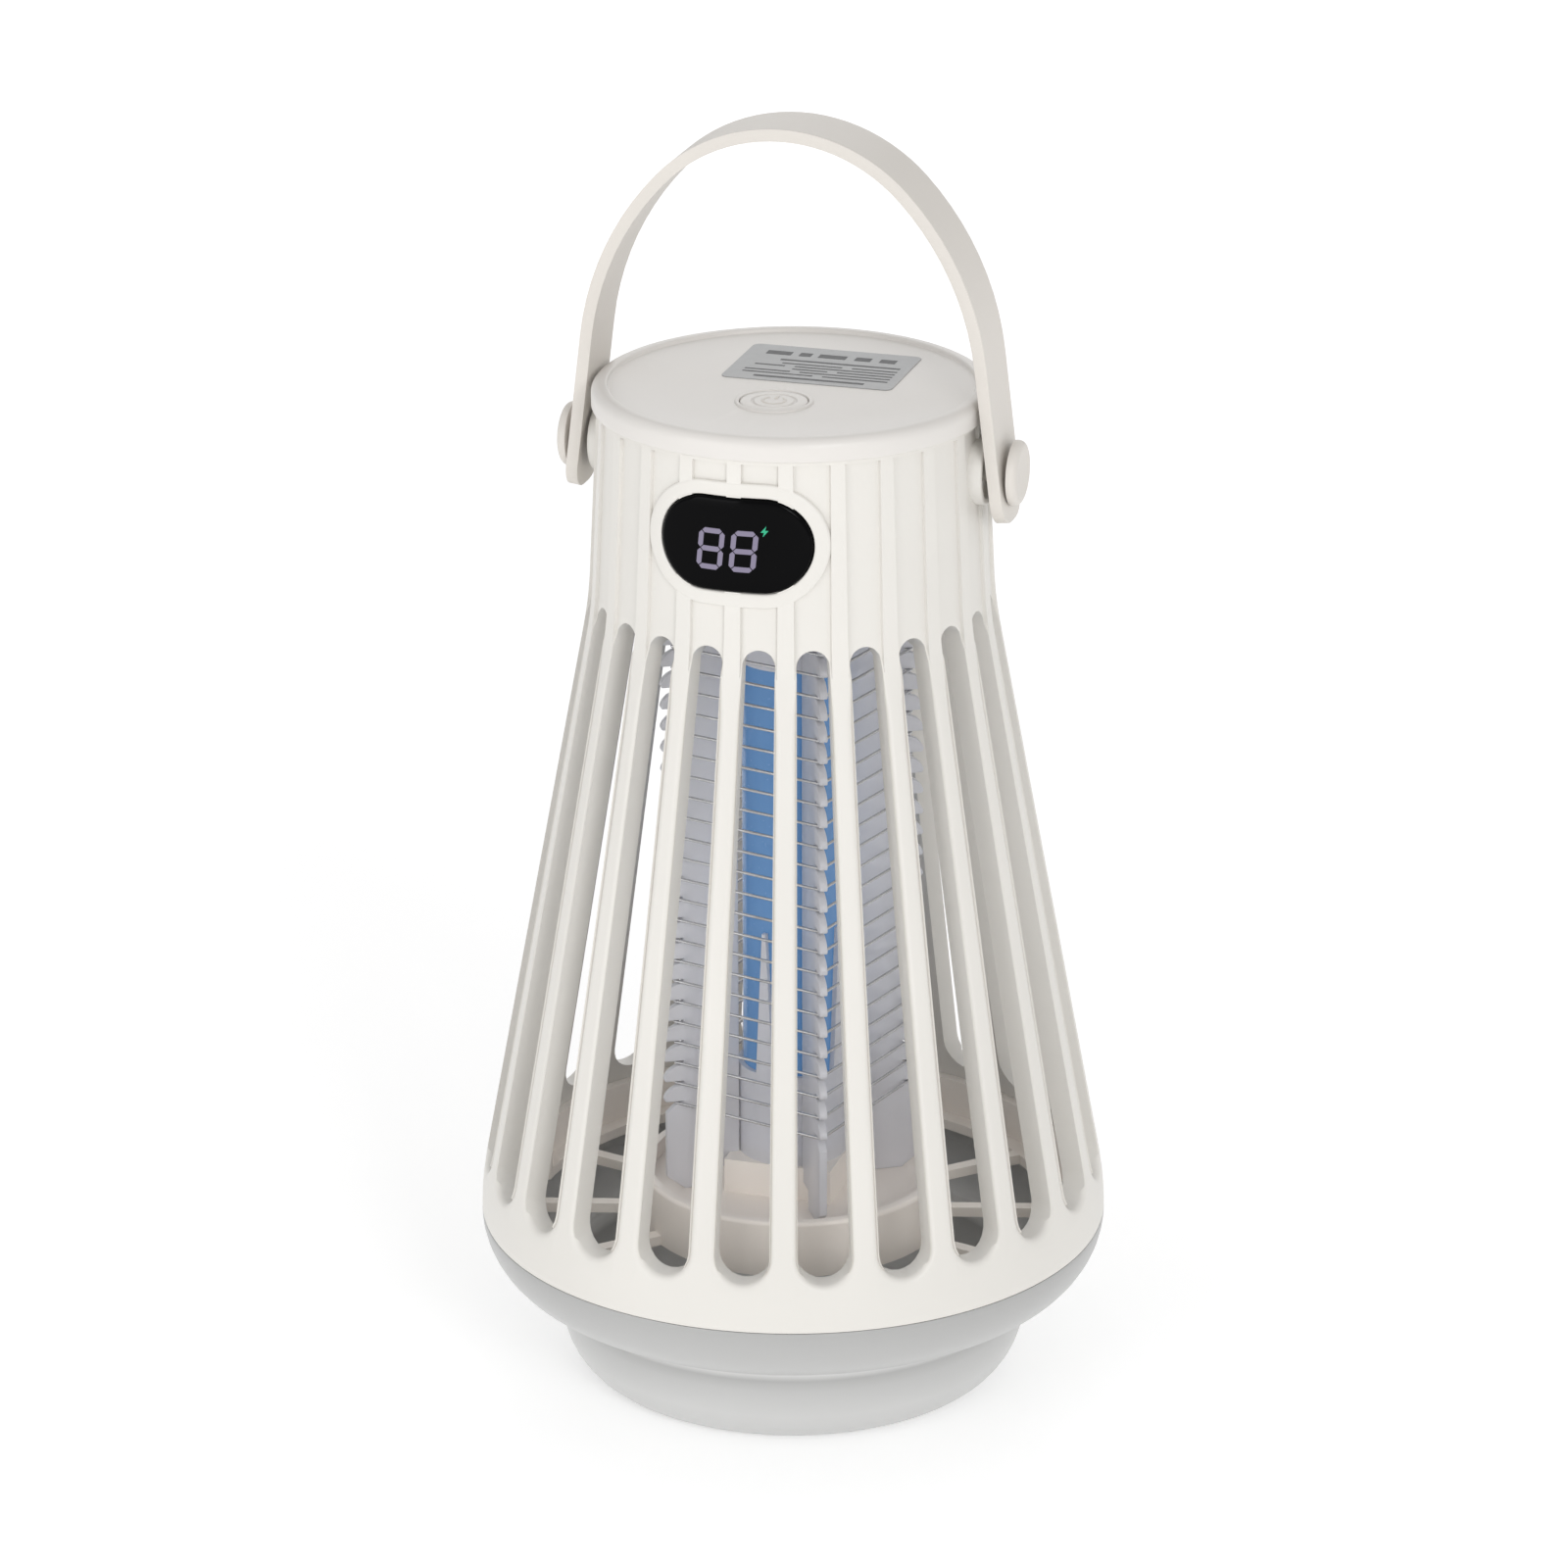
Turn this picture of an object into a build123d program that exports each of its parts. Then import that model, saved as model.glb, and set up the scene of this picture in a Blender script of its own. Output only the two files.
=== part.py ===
from build123d import *
import os
from math import atan, cos, floor, radians, sin, sqrt, tan

# Rechargeable lantern bug zapper, in millimetres.
# Origin: middle of the underside. +Z up. The display faces -Y, the handle's pins lie along X.

# ---- overall heights, from the table up -------------------------------------------------------
TRAY_HEIGHT = 33.0          # frosted tray, up to the seam
BAND_HEIGHT = 6.3           # nearly upright band at the foot of the housing
CAGE_HEIGHT = 121.7         # straight cone that carries the slots
HEAD_HEIGHT = 39.0          # nearly upright head above the slots
LID_HEIGHT = 4.5            # rim of the lid above the head

# ---- housing ----------------------------------------------------------------------------------
BAND_RADIUS = 62.4          # widest point, at the seam
BAND_DRAFT = 0.2
KNEE_RADIUS = 39.35         # where the cone turns into the head
HEAD_DRAFT = 1.95
CAGE_WALL = 4.6
BAND_FILLET = 60.0
KNEE_FILLET = 85.0
BAR_COUNT = 24
SLOT_SILL = 9.4             # solid band below the slots
SLOT_RISE = 2.1             # how far the slots pass the knee
SLOT_FOOT_RADIUS = 5.25
SLOT_HEAD_RADIUS = 3.1
BAY_WALL = 2.5              # head wall about the electronics bay, at the lid
FOOT_WALL = 3.1             # wall about the tray's spigot
BAY_LEDGE = 1.7             # ledge that the bay's floor rests on
RIB_WIDTH = 3.1
PANEL_DEPTH = 0.7
PANEL_TOP_MARGIN = 0.9

# ---- display ----------------------------------------------------------------------------------
DISPLAY_DROP = 16.5         # middle of the window below the lid's seam
WINDOW_WIDTH = 29.5
WINDOW_HEIGHT = 18.0
SURROUND_WIDTH = 3.0
LENS_PROUD = 0.35
LENS_THICKNESS = 1.9
DIGIT_WIDTH = 5.2
DIGIT_HEIGHT = 8.0
DIGIT_STROKE = 1.0
DIGIT_PITCH = 6.5
DIGIT_SLANT = 5.0
DIGITS_OFFSET = (-1.1, -1.0)
ICON_OFFSET = (6.1, 3.1)
INLAY_DEPTH = 0.3

# ---- lid and button ---------------------------------------------------------------------------
LID_OVERHANG = 1.0
LID_RIM_WIDTH = 3.0
LID_RECESS = 0.8
LID_THICKNESS = 2.0
LID_EDGE_FILLET = 1.9
SPIGOT_LENGTH = 4.0
SPIGOT_WALL = 1.6
BUTTON_RADIUS = 6.45
BUTTON_Y = -11.7
BUTTON_PROUD = 0.2
BUTTON_TRAVEL = 0.6
BUTTON_GROOVE = 0.25
BEZEL_WIDTH = 0.85
BEZEL_HEIGHT = 0.3
STEM_RADIUS = 2.0
LABEL_SIZE = (34.0, 23.0)
LABEL_CENTRE = (2.3, 12.5)
LABEL_THICKNESS = 0.25

# ---- handle -----------------------------------------------------------------------------------
PIVOT_DROP = 10.0           # handle pins below the lid's seam
BOSS_HEIGHT = 1.5
BOSS_RADIUS = 7.0
BOSS_RECESS_RADIUS = 5.3
STRAP_WIDTH = 14.0
STRAP_CLEARANCE = 0.3
STRAP_THICKNESS = 2.4
STRAP_FOOT = 9.5            # strap below the pins
STRAP_FOOT_CORNER = 5.5
LEG_HEIGHT = 22.0
LEG_LEAN = 7.0              # degrees inwards
SHOULDER_RADIUS = 56.0
SHOULDER_END = 44.0         # degrees, where the shoulder turns into the crown
PIN_RADIUS = 2.0
PIN_CLEARANCE = 0.06
CAP_RADIUS = 6.3
CAP_HEIGHT = 2.0
NUT_RADIUS = 4.0
NUT_THICKNESS = 1.4

# ---- tray -------------------------------------------------------------------------------------
TRAY_WALL = 1.8
TRAY_FLOOR = 2.2
COLLAR_ROUND = 14.0         # quarter-round under the seam
BOWL_LEAN = 6.3
SEAM_GAP = 0.2
TRAY_SPIGOT = 4.0
TRAY_SPIGOT_WALL = 1.5
TRAY_CLEARANCE = 0.3
SEAL_WIDTH = 1.0
SEAL_HEIGHT = 1.3

# ---- cage floor -------------------------------------------------------------------------------
FLOOR_DROP = 3.0            # underside of the floor's spokes below the seam
FLOOR_THICKNESS = 2.0
SKIRT_WALL = 1.6
FLANGE_RISE = 6.6           # top of the flange above the seam
FLANGE_THICKNESS = 2.0
RIM_WIDTH = 5.0
SPOKE_COUNT = 12
SPOKE_WIDTH = 2.6
TABLE_RADIUS = 30.5
TABLE_RISE = 5.0            # dished top of the round table above the seam
TABLE_RIM_HEIGHT = 3.5
TABLE_RIM_WIDTH = 2.0
FLOOR_SCREW_INSET = 4.8     # floor screws inside the spigot's bore
SCREW_BOSS_RADIUS = 3.2
SCREW_SEAT_DEPTH = 3.0
PLINTH_SIDE = 22.0
PLINTH_HEIGHT = 7.0

# ---- lamp and grid ----------------------------------------------------------------------------
TUBE_RADIUS = 9.9
TUBE_WALL = 1.2
CUP_WALL = 1.0
CUP_BASE = 2.0
LOWER_CUP_HEIGHT = 19.0
UPPER_CUP_HEIGHT = 11.0
TINE_HEIGHT = 30.0
TINE_WIDTH = 4.0
FIN_COUNT = 4
FIN_ANGLE = -60.0           # first fin, from +X
FIN_THICKNESS = 2.4
FIN_TIP_RADIUS = 26.4
FIN_VALLEY_RADIUS = 22.2
FIN_CLEARANCE = 0.3         # between the fins and the cups
FIN_FOOT_INSET = 5.0
WIRE_RADIUS = 0.3
WIRE_CORNER_RADIUS = 23.9
WIRE_PITCH = 4.37
WIRE_START = 18.5           # lowest wire above the round table
NOTCH_HEIGHT = 0.9
LED_PITCH = 14.0
LED_SIZE = (3.5, 1.8, 2.8)
LED_BOARD_WIDTH = 10.0
TOP_RING_THICKNESS = 3.0
TOP_RING_OVERHANG = 1.5
TOP_RING_BORE = 5.0

# ---- electronics ------------------------------------------------------------------------------
BAY_FLOOR_THICKNESS = 2.0
BATTERY_RADIUS = 9.2
BATTERY_LENGTH = 65.0
CELL_GAP = 0.6              # under the cell, and at its ends
CELL_TIP_RADIUS = 3.0
CELL_TIP_LENGTH = 1.2
CLIP_LENGTH = 8.0
CLIP_REACH = 18.0           # clips from the middle of the cell
WIRING_HOLE_RADIUS = 4.0
BOARD_THICKNESS = 1.6
BOARD_GAP = 3.9             # between the main board and the bay's wall
BOARD_DROP = 7.4            # top of the main board below the lid's seam
SCREW_RADIUS = 1.25
SCREW_HEAD_RADIUS = 2.5
SOCKET_SIZE = (9.0, 7.4, 3.2)
SOCKET_CLEARANCE = 0.25
SOCKET_WALL = 0.4
SWITCH_SIZE = (6.0, 6.0, 3.6)
SWITCH_DEPTH = 1.6          # how far the plunger's hole goes into the switch
PLUNGER_RADIUS = 1.7
PLUNGER_HEIGHT = 5.0        # top of the plunger above the main board
POST_RADIUS = 3.0
POST_INSET = 7.0

# ---- worked-out places ------------------------------------------------------------------------
SEAM_Z = TRAY_HEIGHT
BAND_TOP_Z = SEAM_Z + BAND_HEIGHT
KNEE_Z = BAND_TOP_Z + CAGE_HEIGHT
LID_Z = KNEE_Z + HEAD_HEIGHT
TOP_Z = LID_Z + LID_HEIGHT
DECK_Z = TOP_Z - LID_RECESS
BAND_TOP_RADIUS = BAND_RADIUS - BAND_DRAFT
HEAD_TOP_RADIUS = KNEE_RADIUS - HEAD_DRAFT
BAY_RADIUS = HEAD_TOP_RADIUS - BAY_WALL
BOARD_RADIUS = BAY_RADIUS - BOARD_GAP
CUP_RADIUS = TUBE_RADIUS + CUP_WALL
FIN_INNER_RADIUS = CUP_RADIUS + FIN_CLEARANCE
FLOOR_Z = SEAM_Z - FLOOR_DROP
FLANGE_TOP = SEAM_Z + FLANGE_RISE
TABLE_Z = SEAM_Z + TABLE_RISE
SLOT_LOW_Z = SEAM_Z + SLOT_SILL
SLOT_HIGH_Z = KNEE_Z + SLOT_RISE
BARS_LOW_Z = SLOT_LOW_Z + SLOT_FOOT_RADIUS
BARS_HIGH_Z = SLOT_HIGH_Z - SLOT_HEAD_RADIUS
BAY_FLOOR_Z = KNEE_Z + 2.0
BAY_Z = BAY_FLOOR_Z + BAY_FLOOR_THICKNESS
PANEL_TOP_Z = LID_Z - PANEL_TOP_MARGIN
DISPLAY_Z = LID_Z - DISPLAY_DROP
PIVOT_Z = LID_Z - PIVOT_DROP
BOARD_TOP_Z = LID_Z - BOARD_DROP
PLINTH_TOP_Z = TABLE_Z + PLINTH_HEIGHT
LOWER_CUP_TOP_Z = PLINTH_TOP_Z + LOWER_CUP_HEIGHT
GRID_TOP_Z = BAY_FLOOR_Z - TOP_RING_THICKNESS
UPPER_CUP_Z = GRID_TOP_Z - UPPER_CUP_HEIGHT
TUBE_TOP_Z = GRID_TOP_Z - CUP_BASE
TUBE_LOW_Z = PLINTH_TOP_Z + CUP_BASE
CELL_Z = BAY_Z + BATTERY_RADIUS + CELL_GAP
SWITCH_HOLE_Z = BOARD_TOP_Z + SWITCH_SIZE[2] - SWITCH_DEPTH
PLUNGER_TOP_Z = BOARD_TOP_Z + PLUNGER_HEIGHT
LID_UNDER_Z = DECK_Z - LID_THICKNESS
SPIGOT_BORE = BAND_RADIUS - FOOT_WALL
SPIGOT_RADIUS = SPIGOT_BORE - TRAY_CLEARANCE
FAR = 2 * BAND_RADIUS


def outer_radius(z):
    """Outside of the housing at a height, without its two long fillets."""
    if z < BAND_TOP_Z:
        return BAND_RADIUS - BAND_DRAFT * (z - SEAM_Z) / BAND_HEIGHT
    if z < KNEE_Z:
        return BAND_TOP_RADIUS - (BAND_TOP_RADIUS - KNEE_RADIUS) * (z - BAND_TOP_Z) / CAGE_HEIGHT
    return KNEE_RADIUS - HEAD_DRAFT * (z - KNEE_Z) / HEAD_HEIGHT


# ---- plain shapes -----------------------------------------------------------------------------
def disc(radius, low, high, x=0.0, y=0.0):
    return Pos(x, y, (low + high) / 2) * Cylinder(radius, high - low)


def ring(outer, inner, low, high, x=0.0, y=0.0):
    return disc(outer, low, high, x, y) - disc(inner, low - 1, high + 1, x, y)


def block(size, low, x=0.0, y=0.0):
    return Pos(x, y, low + size[2] / 2) * Box(*size)


def slab(low, high):
    return block((2 * FAR, 2 * FAR, high - low), low)


def turned(points):
    """Solid of revolution about Z from (radius, height) corners."""
    return revolve(Plane.XZ * make_face(Polyline(*points, close=True)), Axis.Z)


def rod_x(radius, start, end, y=0.0, z=0.0):
    return Pos((start + end) / 2, y, z) * Rot(0, 90, 0) * Cylinder(radius, abs(end - start))


def around(shape, count, start=0.0):
    return [Rot(0, 0, start + 360 / count * i) * shape for i in range(count)]


def facing_front(sketch, depth=FAR):
    """A sketch drawn in X and Z, pushed out from the axis towards -Y."""
    return extrude(Plane.XZ * sketch, depth, dir=(0, -1, 0))


# ---- housing ----------------------------------------------------------------------------------
def band_fillet():
    """Round between the band and the cone, held to what the band's height has room for."""
    turn = atan((BAND_TOP_RADIUS - KNEE_RADIUS) / CAGE_HEIGHT) - atan(BAND_DRAFT / BAND_HEIGHT)
    return min(BAND_FILLET, 0.75 * BAND_HEIGHT / tan(turn / 2))


def housing_outside(inset=0.0):
    points = [(BAND_RADIUS - inset, SEAM_Z), (BAND_TOP_RADIUS - inset, BAND_TOP_Z),
              (KNEE_RADIUS - inset, KNEE_Z), (HEAD_TOP_RADIUS - inset, LID_Z)]
    side = FilletPolyline(*points, radius=[band_fillet(), KNEE_FILLET])
    back = Polyline(points[-1], (0, LID_Z), (0, SEAM_Z), points[0])
    return revolve(Plane.XZ * make_face(side + back), Axis.Z)


def housing_inside():
    """The hollow of the housing: seal rebate, spigot bore, cage, ledge and electronics bay."""
    rebate = SPIGOT_RADIUS + SEAL_WIDTH + 0.4
    rebate_top = SEAM_Z + SEAL_HEIGHT + 0.1
    ledge_radius = BAY_RADIUS - BAY_LEDGE
    return turned([
        (0, SEAM_Z - 1), (rebate, SEAM_Z - 1), (rebate, rebate_top),
        (SPIGOT_BORE, rebate_top), (SPIGOT_BORE, FLANGE_TOP),
        (outer_radius(FLANGE_TOP) - CAGE_WALL, FLANGE_TOP),
        (outer_radius(KNEE_Z) - CAGE_WALL, KNEE_Z), (ledge_radius, KNEE_Z + 1),
        (ledge_radius, BAY_FLOOR_Z), (BAY_RADIUS, BAY_FLOOR_Z), (BAY_RADIUS, LID_Z + 1), (0, LID_Z + 1)])


def slot_cutter():
    """One tapering slot with round ends, pushed out along -Y."""
    low, high = BARS_LOW_Z, BARS_HIGH_Z
    lean = (SLOT_FOOT_RADIUS - SLOT_HEAD_RADIUS) / (high - low)
    side = sqrt(1 - lean ** 2)
    corners = [(s * r * side, z + r * lean) for s, r, z in (
        (-1, SLOT_FOOT_RADIUS, low), (1, SLOT_FOOT_RADIUS, low),
        (1, SLOT_HEAD_RADIUS, high), (-1, SLOT_HEAD_RADIUS, high))]
    outline = Polygon(*corners, align=None)
    outline += Pos(0, low) * Circle(SLOT_FOOT_RADIUS) + Pos(0, high) * Circle(SLOT_HEAD_RADIUS)
    return facing_front(outline)


def window_outline(margin=0.0):
    outline = SlotOverall(WINDOW_WIDTH + 2 * margin, WINDOW_HEIGHT + 2 * margin)
    return Pos(0, DISPLAY_Z) * outline


def ribs_mask():
    """Where the head keeps its full radius: the ribs, the display's surround and the rim above the panels."""
    height = PANEL_TOP_Z - BARS_HIGH_Z
    rib = block((RIB_WIDTH, FAR, height), BARS_HIGH_Z, 0, -FAR / 2)
    mask = slab(PANEL_TOP_Z, LID_Z)
    for part in around(rib, BAR_COUNT):
        mask += part
    return mask + facing_front(window_outline(SURROUND_WIDTH))


def handle_boss(side):
    """Round boss that spaces the strap from the head, with a recess about the pin."""
    face = outer_radius(PIVOT_Z) + BOSS_HEIGHT
    root = BAY_RADIUS + 0.8
    boss = rod_x(BOSS_RADIUS, side * root, side * face, 0, PIVOT_Z)
    return boss - rod_x(BOSS_RECESS_RADIUS, side * (face - BOSS_HEIGHT), side * FAR, 0, PIVOT_Z)


def socket_cutter():
    width, depth, height = SOCKET_SIZE
    grown = (width + 2 * SOCKET_CLEARANCE, FAR, height + 2 * SOCKET_CLEARANCE)
    cutter = block(grown, socket_z() - SOCKET_CLEARANCE, 0, BOARD_RADIUS + FAR / 2)
    return fillet(cutter.edges().filter_by(Axis.Y), grown[2] / 2 - 0.05)


def socket_z():
    return BOARD_TOP_Z - BOARD_THICKNESS - SOCKET_SIZE[2]


def floor_screw_places():
    radius = SPIGOT_BORE - FLOOR_SCREW_INSET
    return [(radius * cos(radians(a)), radius * sin(radians(a))) for a in (0, 90, 180, 270)]


def floor_bosses():
    """Screw bosses behind four of the bars, which hold the cage floor up."""
    bosses = Part()
    for x, y in floor_screw_places():
        bosses += disc(SCREW_BOSS_RADIUS, FLANGE_TOP, FLANGE_TOP + 6, x, y)
    return bosses


def housing_shell():
    shell = housing_outside() - housing_inside()
    for cutter in around(slot_cutter(), BAR_COUNT, 180 / BAR_COUNT):
        shell -= cutter
    return shell


def head_shell(shell):
    head = shell & slab(BARS_HIGH_Z, LID_Z)
    core = head & housing_outside(PANEL_DEPTH)
    head = core + (head & ribs_mask())
    head -= facing_front(window_outline(0.1))
    for side in (-1, 1):
        head += handle_boss(side)
        head -= rod_x(PIN_RADIUS, side * BAY_RADIUS / 2, side * FAR, 0, PIVOT_Z)
    return head - socket_cutter()


def cage_bars(shell):
    return shell & slab(BARS_LOW_Z, BARS_HIGH_Z)


def cage_ring(shell):
    band = (shell & slab(SEAM_Z, BARS_LOW_Z)) + (floor_bosses() & housing_outside(1.0))
    for x, y in floor_screw_places():
        band -= disc(SCREW_RADIUS, FLANGE_TOP - 1, FLANGE_TOP + 5, x, y)
    return band


# ---- display ----------------------------------------------------------------------------------
def head_skin(proud, depth):
    """A skin over the head, from a little proud of its surface to a depth below it."""
    low, high = KNEE_Z + 1, LID_Z + 2
    return turned([(outer_radius(low) + proud, low), (outer_radius(high) + proud, high),
                   (outer_radius(high) - depth, high), (outer_radius(low) - depth, low)])


def digit_segments(centre_x, centre_z):
    """The seven bars of one figure 8, with pointed ends and a slight slant."""
    half = DIGIT_STROKE / 2
    reach_x, reach_z = DIGIT_WIDTH / 2 - half, DIGIT_HEIGHT / 2 - half
    gap = 0.12
    bars = [((-reach_x, z), (reach_x, z)) for z in (-reach_z, 0, reach_z)]
    bars += [((x, z0), (x, z0 + reach_z)) for x in (-reach_x, reach_x) for z0 in (-reach_z, 0)]
    segments = []
    for (x0, z0), (x1, z1) in bars:
        along = Vector(x1 - x0, z1 - z0).normalized()
        across = Vector(-along.Y, along.X) * half
        start, end = Vector(x0, z0) + along * gap, Vector(x1, z1) - along * gap
        corners = [start, start + along * half + across, end - along * half + across,
                   end, end - along * half - across, start + along * half - across]
        slanted = [(centre_x + c.X + c.Y * tan(radians(DIGIT_SLANT)), centre_z + c.Y) for c in corners]
        segments.append(Polygon(*slanted, align=None))
    return segments


def digit_shapes():
    x, z = DIGITS_OFFSET[0], DISPLAY_Z + DIGITS_OFFSET[1]
    return digit_segments(x - DIGIT_PITCH / 2, z) + digit_segments(x + DIGIT_PITCH / 2, z)


def bolt_shape():
    corners = [(0.35, 1.1), (-0.75, -0.2), (-0.1, -0.2), (-0.35, -1.1), (0.75, 0.2), (0.1, 0.2)]
    x, z = ICON_OFFSET[0], DISPLAY_Z + ICON_OFFSET[1]
    return Polygon(*[(x + cx, z + cz) for cx, cz in corners], align=None)


def inlay(shapes):
    skin = head_skin(LENS_PROUD + 0.02, INLAY_DEPTH - LENS_PROUD)
    return [facing_front(shape) & skin for shape in shapes]


def display_lens(inlays):
    lens = facing_front(window_outline()) & head_skin(LENS_PROUD, LENS_THICKNESS - LENS_PROUD)
    for solid in inlays:
        lens -= solid
    return lens


def display_board():
    half = WINDOW_WIDTH / 2 - 2
    face_y = sqrt((HEAD_TOP_RADIUS - LENS_THICKNESS) ** 2 - half ** 2) - 0.6
    face_y = min(face_y, sqrt(BAY_RADIUS ** 2 - half ** 2) - 0.3)
    return block((2 * half, BOARD_THICKNESS, WINDOW_HEIGHT - 2), DISPLAY_Z - WINDOW_HEIGHT / 2 + 1,
                 0, BOARD_THICKNESS / 2 - face_y)


# ---- lid, label and button --------------------------------------------------------------------
def post_places():
    radius = BOARD_RADIUS - POST_INSET
    return [(radius * cos(radians(a)), radius * sin(radians(a))) for a in (90, 210, 330)]


def button_hole_radius():
    return BUTTON_RADIUS + 0.2


def top_lid():
    radius = HEAD_TOP_RADIUS + LID_OVERHANG
    well = radius - LID_RIM_WIDTH
    lid = disc(radius, LID_Z, TOP_Z)
    lid = fillet(lid.edges().sort_by(Axis.Z)[-1], LID_EDGE_FILLET)
    lid -= disc(well, DECK_Z, TOP_Z + 1)
    spigot = BAY_RADIUS - 0.2
    lid -= disc(spigot - SPIGOT_WALL, LID_Z - 1, LID_UNDER_Z)
    lid += ring(spigot, spigot - SPIGOT_WALL, LID_Z - SPIGOT_LENGTH, LID_Z + 0.5)
    hole = button_hole_radius()
    lid += disc(hole + BEZEL_WIDTH, DECK_Z - 0.5, DECK_Z + BEZEL_HEIGHT, 0, BUTTON_Y)
    lid -= disc(hole, LID_UNDER_Z - 1, TOP_Z + 1, 0, BUTTON_Y)
    for x, y in post_places():
        lid += disc(POST_RADIUS, BOARD_TOP_Z, LID_UNDER_Z + 0.5, x, y)
        lid -= disc(SCREW_RADIUS, BOARD_TOP_Z - 1, LID_UNDER_Z - 1, x, y)
    return lid


def rating_label():
    label = block((*LABEL_SIZE, LABEL_THICKNESS), DECK_Z, *LABEL_CENTRE)
    return fillet(label.edges().filter_by(Axis.Z), 1.5)


def power_symbol():
    """Open ring and bar, sunk into the button's face."""
    arc = ring(2.5, 1.9, 0, 1) - block((1.6, 3, 3), -1, 0, 2.2)
    return arc + block((0.6, 2.0, 1), 0, 0, 1.9)


def power_button():
    face = DECK_Z + BUTTON_PROUD
    flange = LID_UNDER_Z - 0.05
    button = disc(BUTTON_RADIUS, flange - 0.1, face, 0, BUTTON_Y)
    button = fillet(button.edges().sort_by(Axis.Z)[-1], 0.4)
    button += disc(button_hole_radius() + 0.8, flange - 0.8, flange, 0, BUTTON_Y)
    button += disc(STEM_RADIUS, PLUNGER_TOP_Z, flange - 0.4, 0, BUTTON_Y)
    button -= ring(4.3, 3.9, face - BUTTON_GROOVE, face + 1, 0, BUTTON_Y)
    return button - Pos(0, BUTTON_Y, face - BUTTON_GROOVE) * power_symbol()


def tact_switch():
    body = block(SWITCH_SIZE, BOARD_TOP_Z, 0, BUTTON_Y)
    return body - disc(PLUNGER_RADIUS + 0.05, SWITCH_HOLE_Z, PLUNGER_TOP_Z, 0, BUTTON_Y)


def switch_plunger():
    return disc(PLUNGER_RADIUS, SWITCH_HOLE_Z + BUTTON_TRAVEL + 0.2, PLUNGER_TOP_Z, 0, BUTTON_Y)


# ---- handle -----------------------------------------------------------------------------------
def strap_middle_x():
    """Half the distance between the strap's legs at the pins. The leaning leg clears the whole boss."""
    lean = BOSS_RADIUS * tan(radians(LEG_LEAN))
    return outer_radius(PIVOT_Z) + BOSS_HEIGHT + lean + STRAP_CLEARANCE + STRAP_THICKNESS / 2


def strap_edge(shift):
    """Half of the strap's curve, from foot to crown, shifted outwards from its middle."""
    lean, turn = radians(LEG_LEAN), radians(SHOULDER_END)
    leg_top_x = strap_middle_x() - LEG_HEIGHT * tan(lean)
    crown_radius = (leg_top_x - SHOULDER_RADIUS * (cos(lean) - cos(turn))) / cos(turn)
    out = Vector(cos(lean), sin(lean)) * shift
    foot = Vector(strap_middle_x() + (STRAP_FOOT + 2) * tan(lean), PIVOT_Z - STRAP_FOOT - 2) + out
    leg_top = Vector(leg_top_x, PIVOT_Z + LEG_HEIGHT) + out
    leg = Line(foot, leg_top)
    shoulder = JernArc(leg @ 1, leg % 1, SHOULDER_RADIUS + shift, SHOULDER_END - LEG_LEAN)
    crown = JernArc(shoulder @ 1, shoulder % 1, crown_radius + shift, 90 - SHOULDER_END)
    return leg, shoulder, crown


def handle_strap():
    outer = strap_edge(STRAP_THICKNESS / 2)
    inner = strap_edge(-STRAP_THICKNESS / 2)
    ends = [Line(outer[0] @ 0, inner[0] @ 0), Line(outer[2] @ 1, inner[2] @ 1)]
    half = extrude(Plane.XZ * make_face([*outer, *inner, *ends]), STRAP_WIDTH / 2, both=True)
    strap = half + mirror(half, Plane.YZ)
    low, high = PIVOT_Z - STRAP_FOOT, PIVOT_Z + 3 * BAND_RADIUS
    side_view = Pos(0, (low + high) / 2) * Rectangle(STRAP_WIDTH, high - low)
    corners = side_view.vertices().sort_by(Axis.Y)[:2]
    side_view = fillet(corners, STRAP_FOOT_CORNER)
    strap &= extrude(Plane.YZ * side_view, FAR, both=True)
    return strap - rod_x(PIN_RADIUS + PIN_CLEARANCE, -FAR, FAR, 0, PIVOT_Z)


def handle_pin(side):
    """Shoulder pin with a domed cap outside the strap, its shank through the head's wall."""
    strap_face = strap_middle_x() + (STRAP_THICKNESS / 2 + CAP_RADIUS * sin(radians(LEG_LEAN))) + 0.15
    cap = Pos(strap_face + CAP_HEIGHT / 2, 0, PIVOT_Z) * Rot(0, 90, 0) * Cylinder(CAP_RADIUS, CAP_HEIGHT)
    cap = fillet(cap.edges().sort_by(Axis.X)[-1], CAP_HEIGHT - 0.8)
    pin = cap + rod_x(PIN_RADIUS, nut_outer_x() - NUT_THICKNESS - 0.4, strap_face + 0.5, 0, PIVOT_Z)
    return pin if side > 0 else mirror(pin, Plane.YZ)


def nut_outer_x():
    return sqrt(BAY_RADIUS ** 2 - NUT_RADIUS ** 2) - 0.1


def pin_nuts():
    nuts = []
    for side in (-1, 1):
        inner, outer = side * (nut_outer_x() - NUT_THICKNESS), side * nut_outer_x()
        nuts.append(rod_x(NUT_RADIUS, inner, outer, 0, PIVOT_Z)
                    - rod_x(PIN_RADIUS, inner - side, outer + side, 0, PIVOT_Z))
    return nuts


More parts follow.
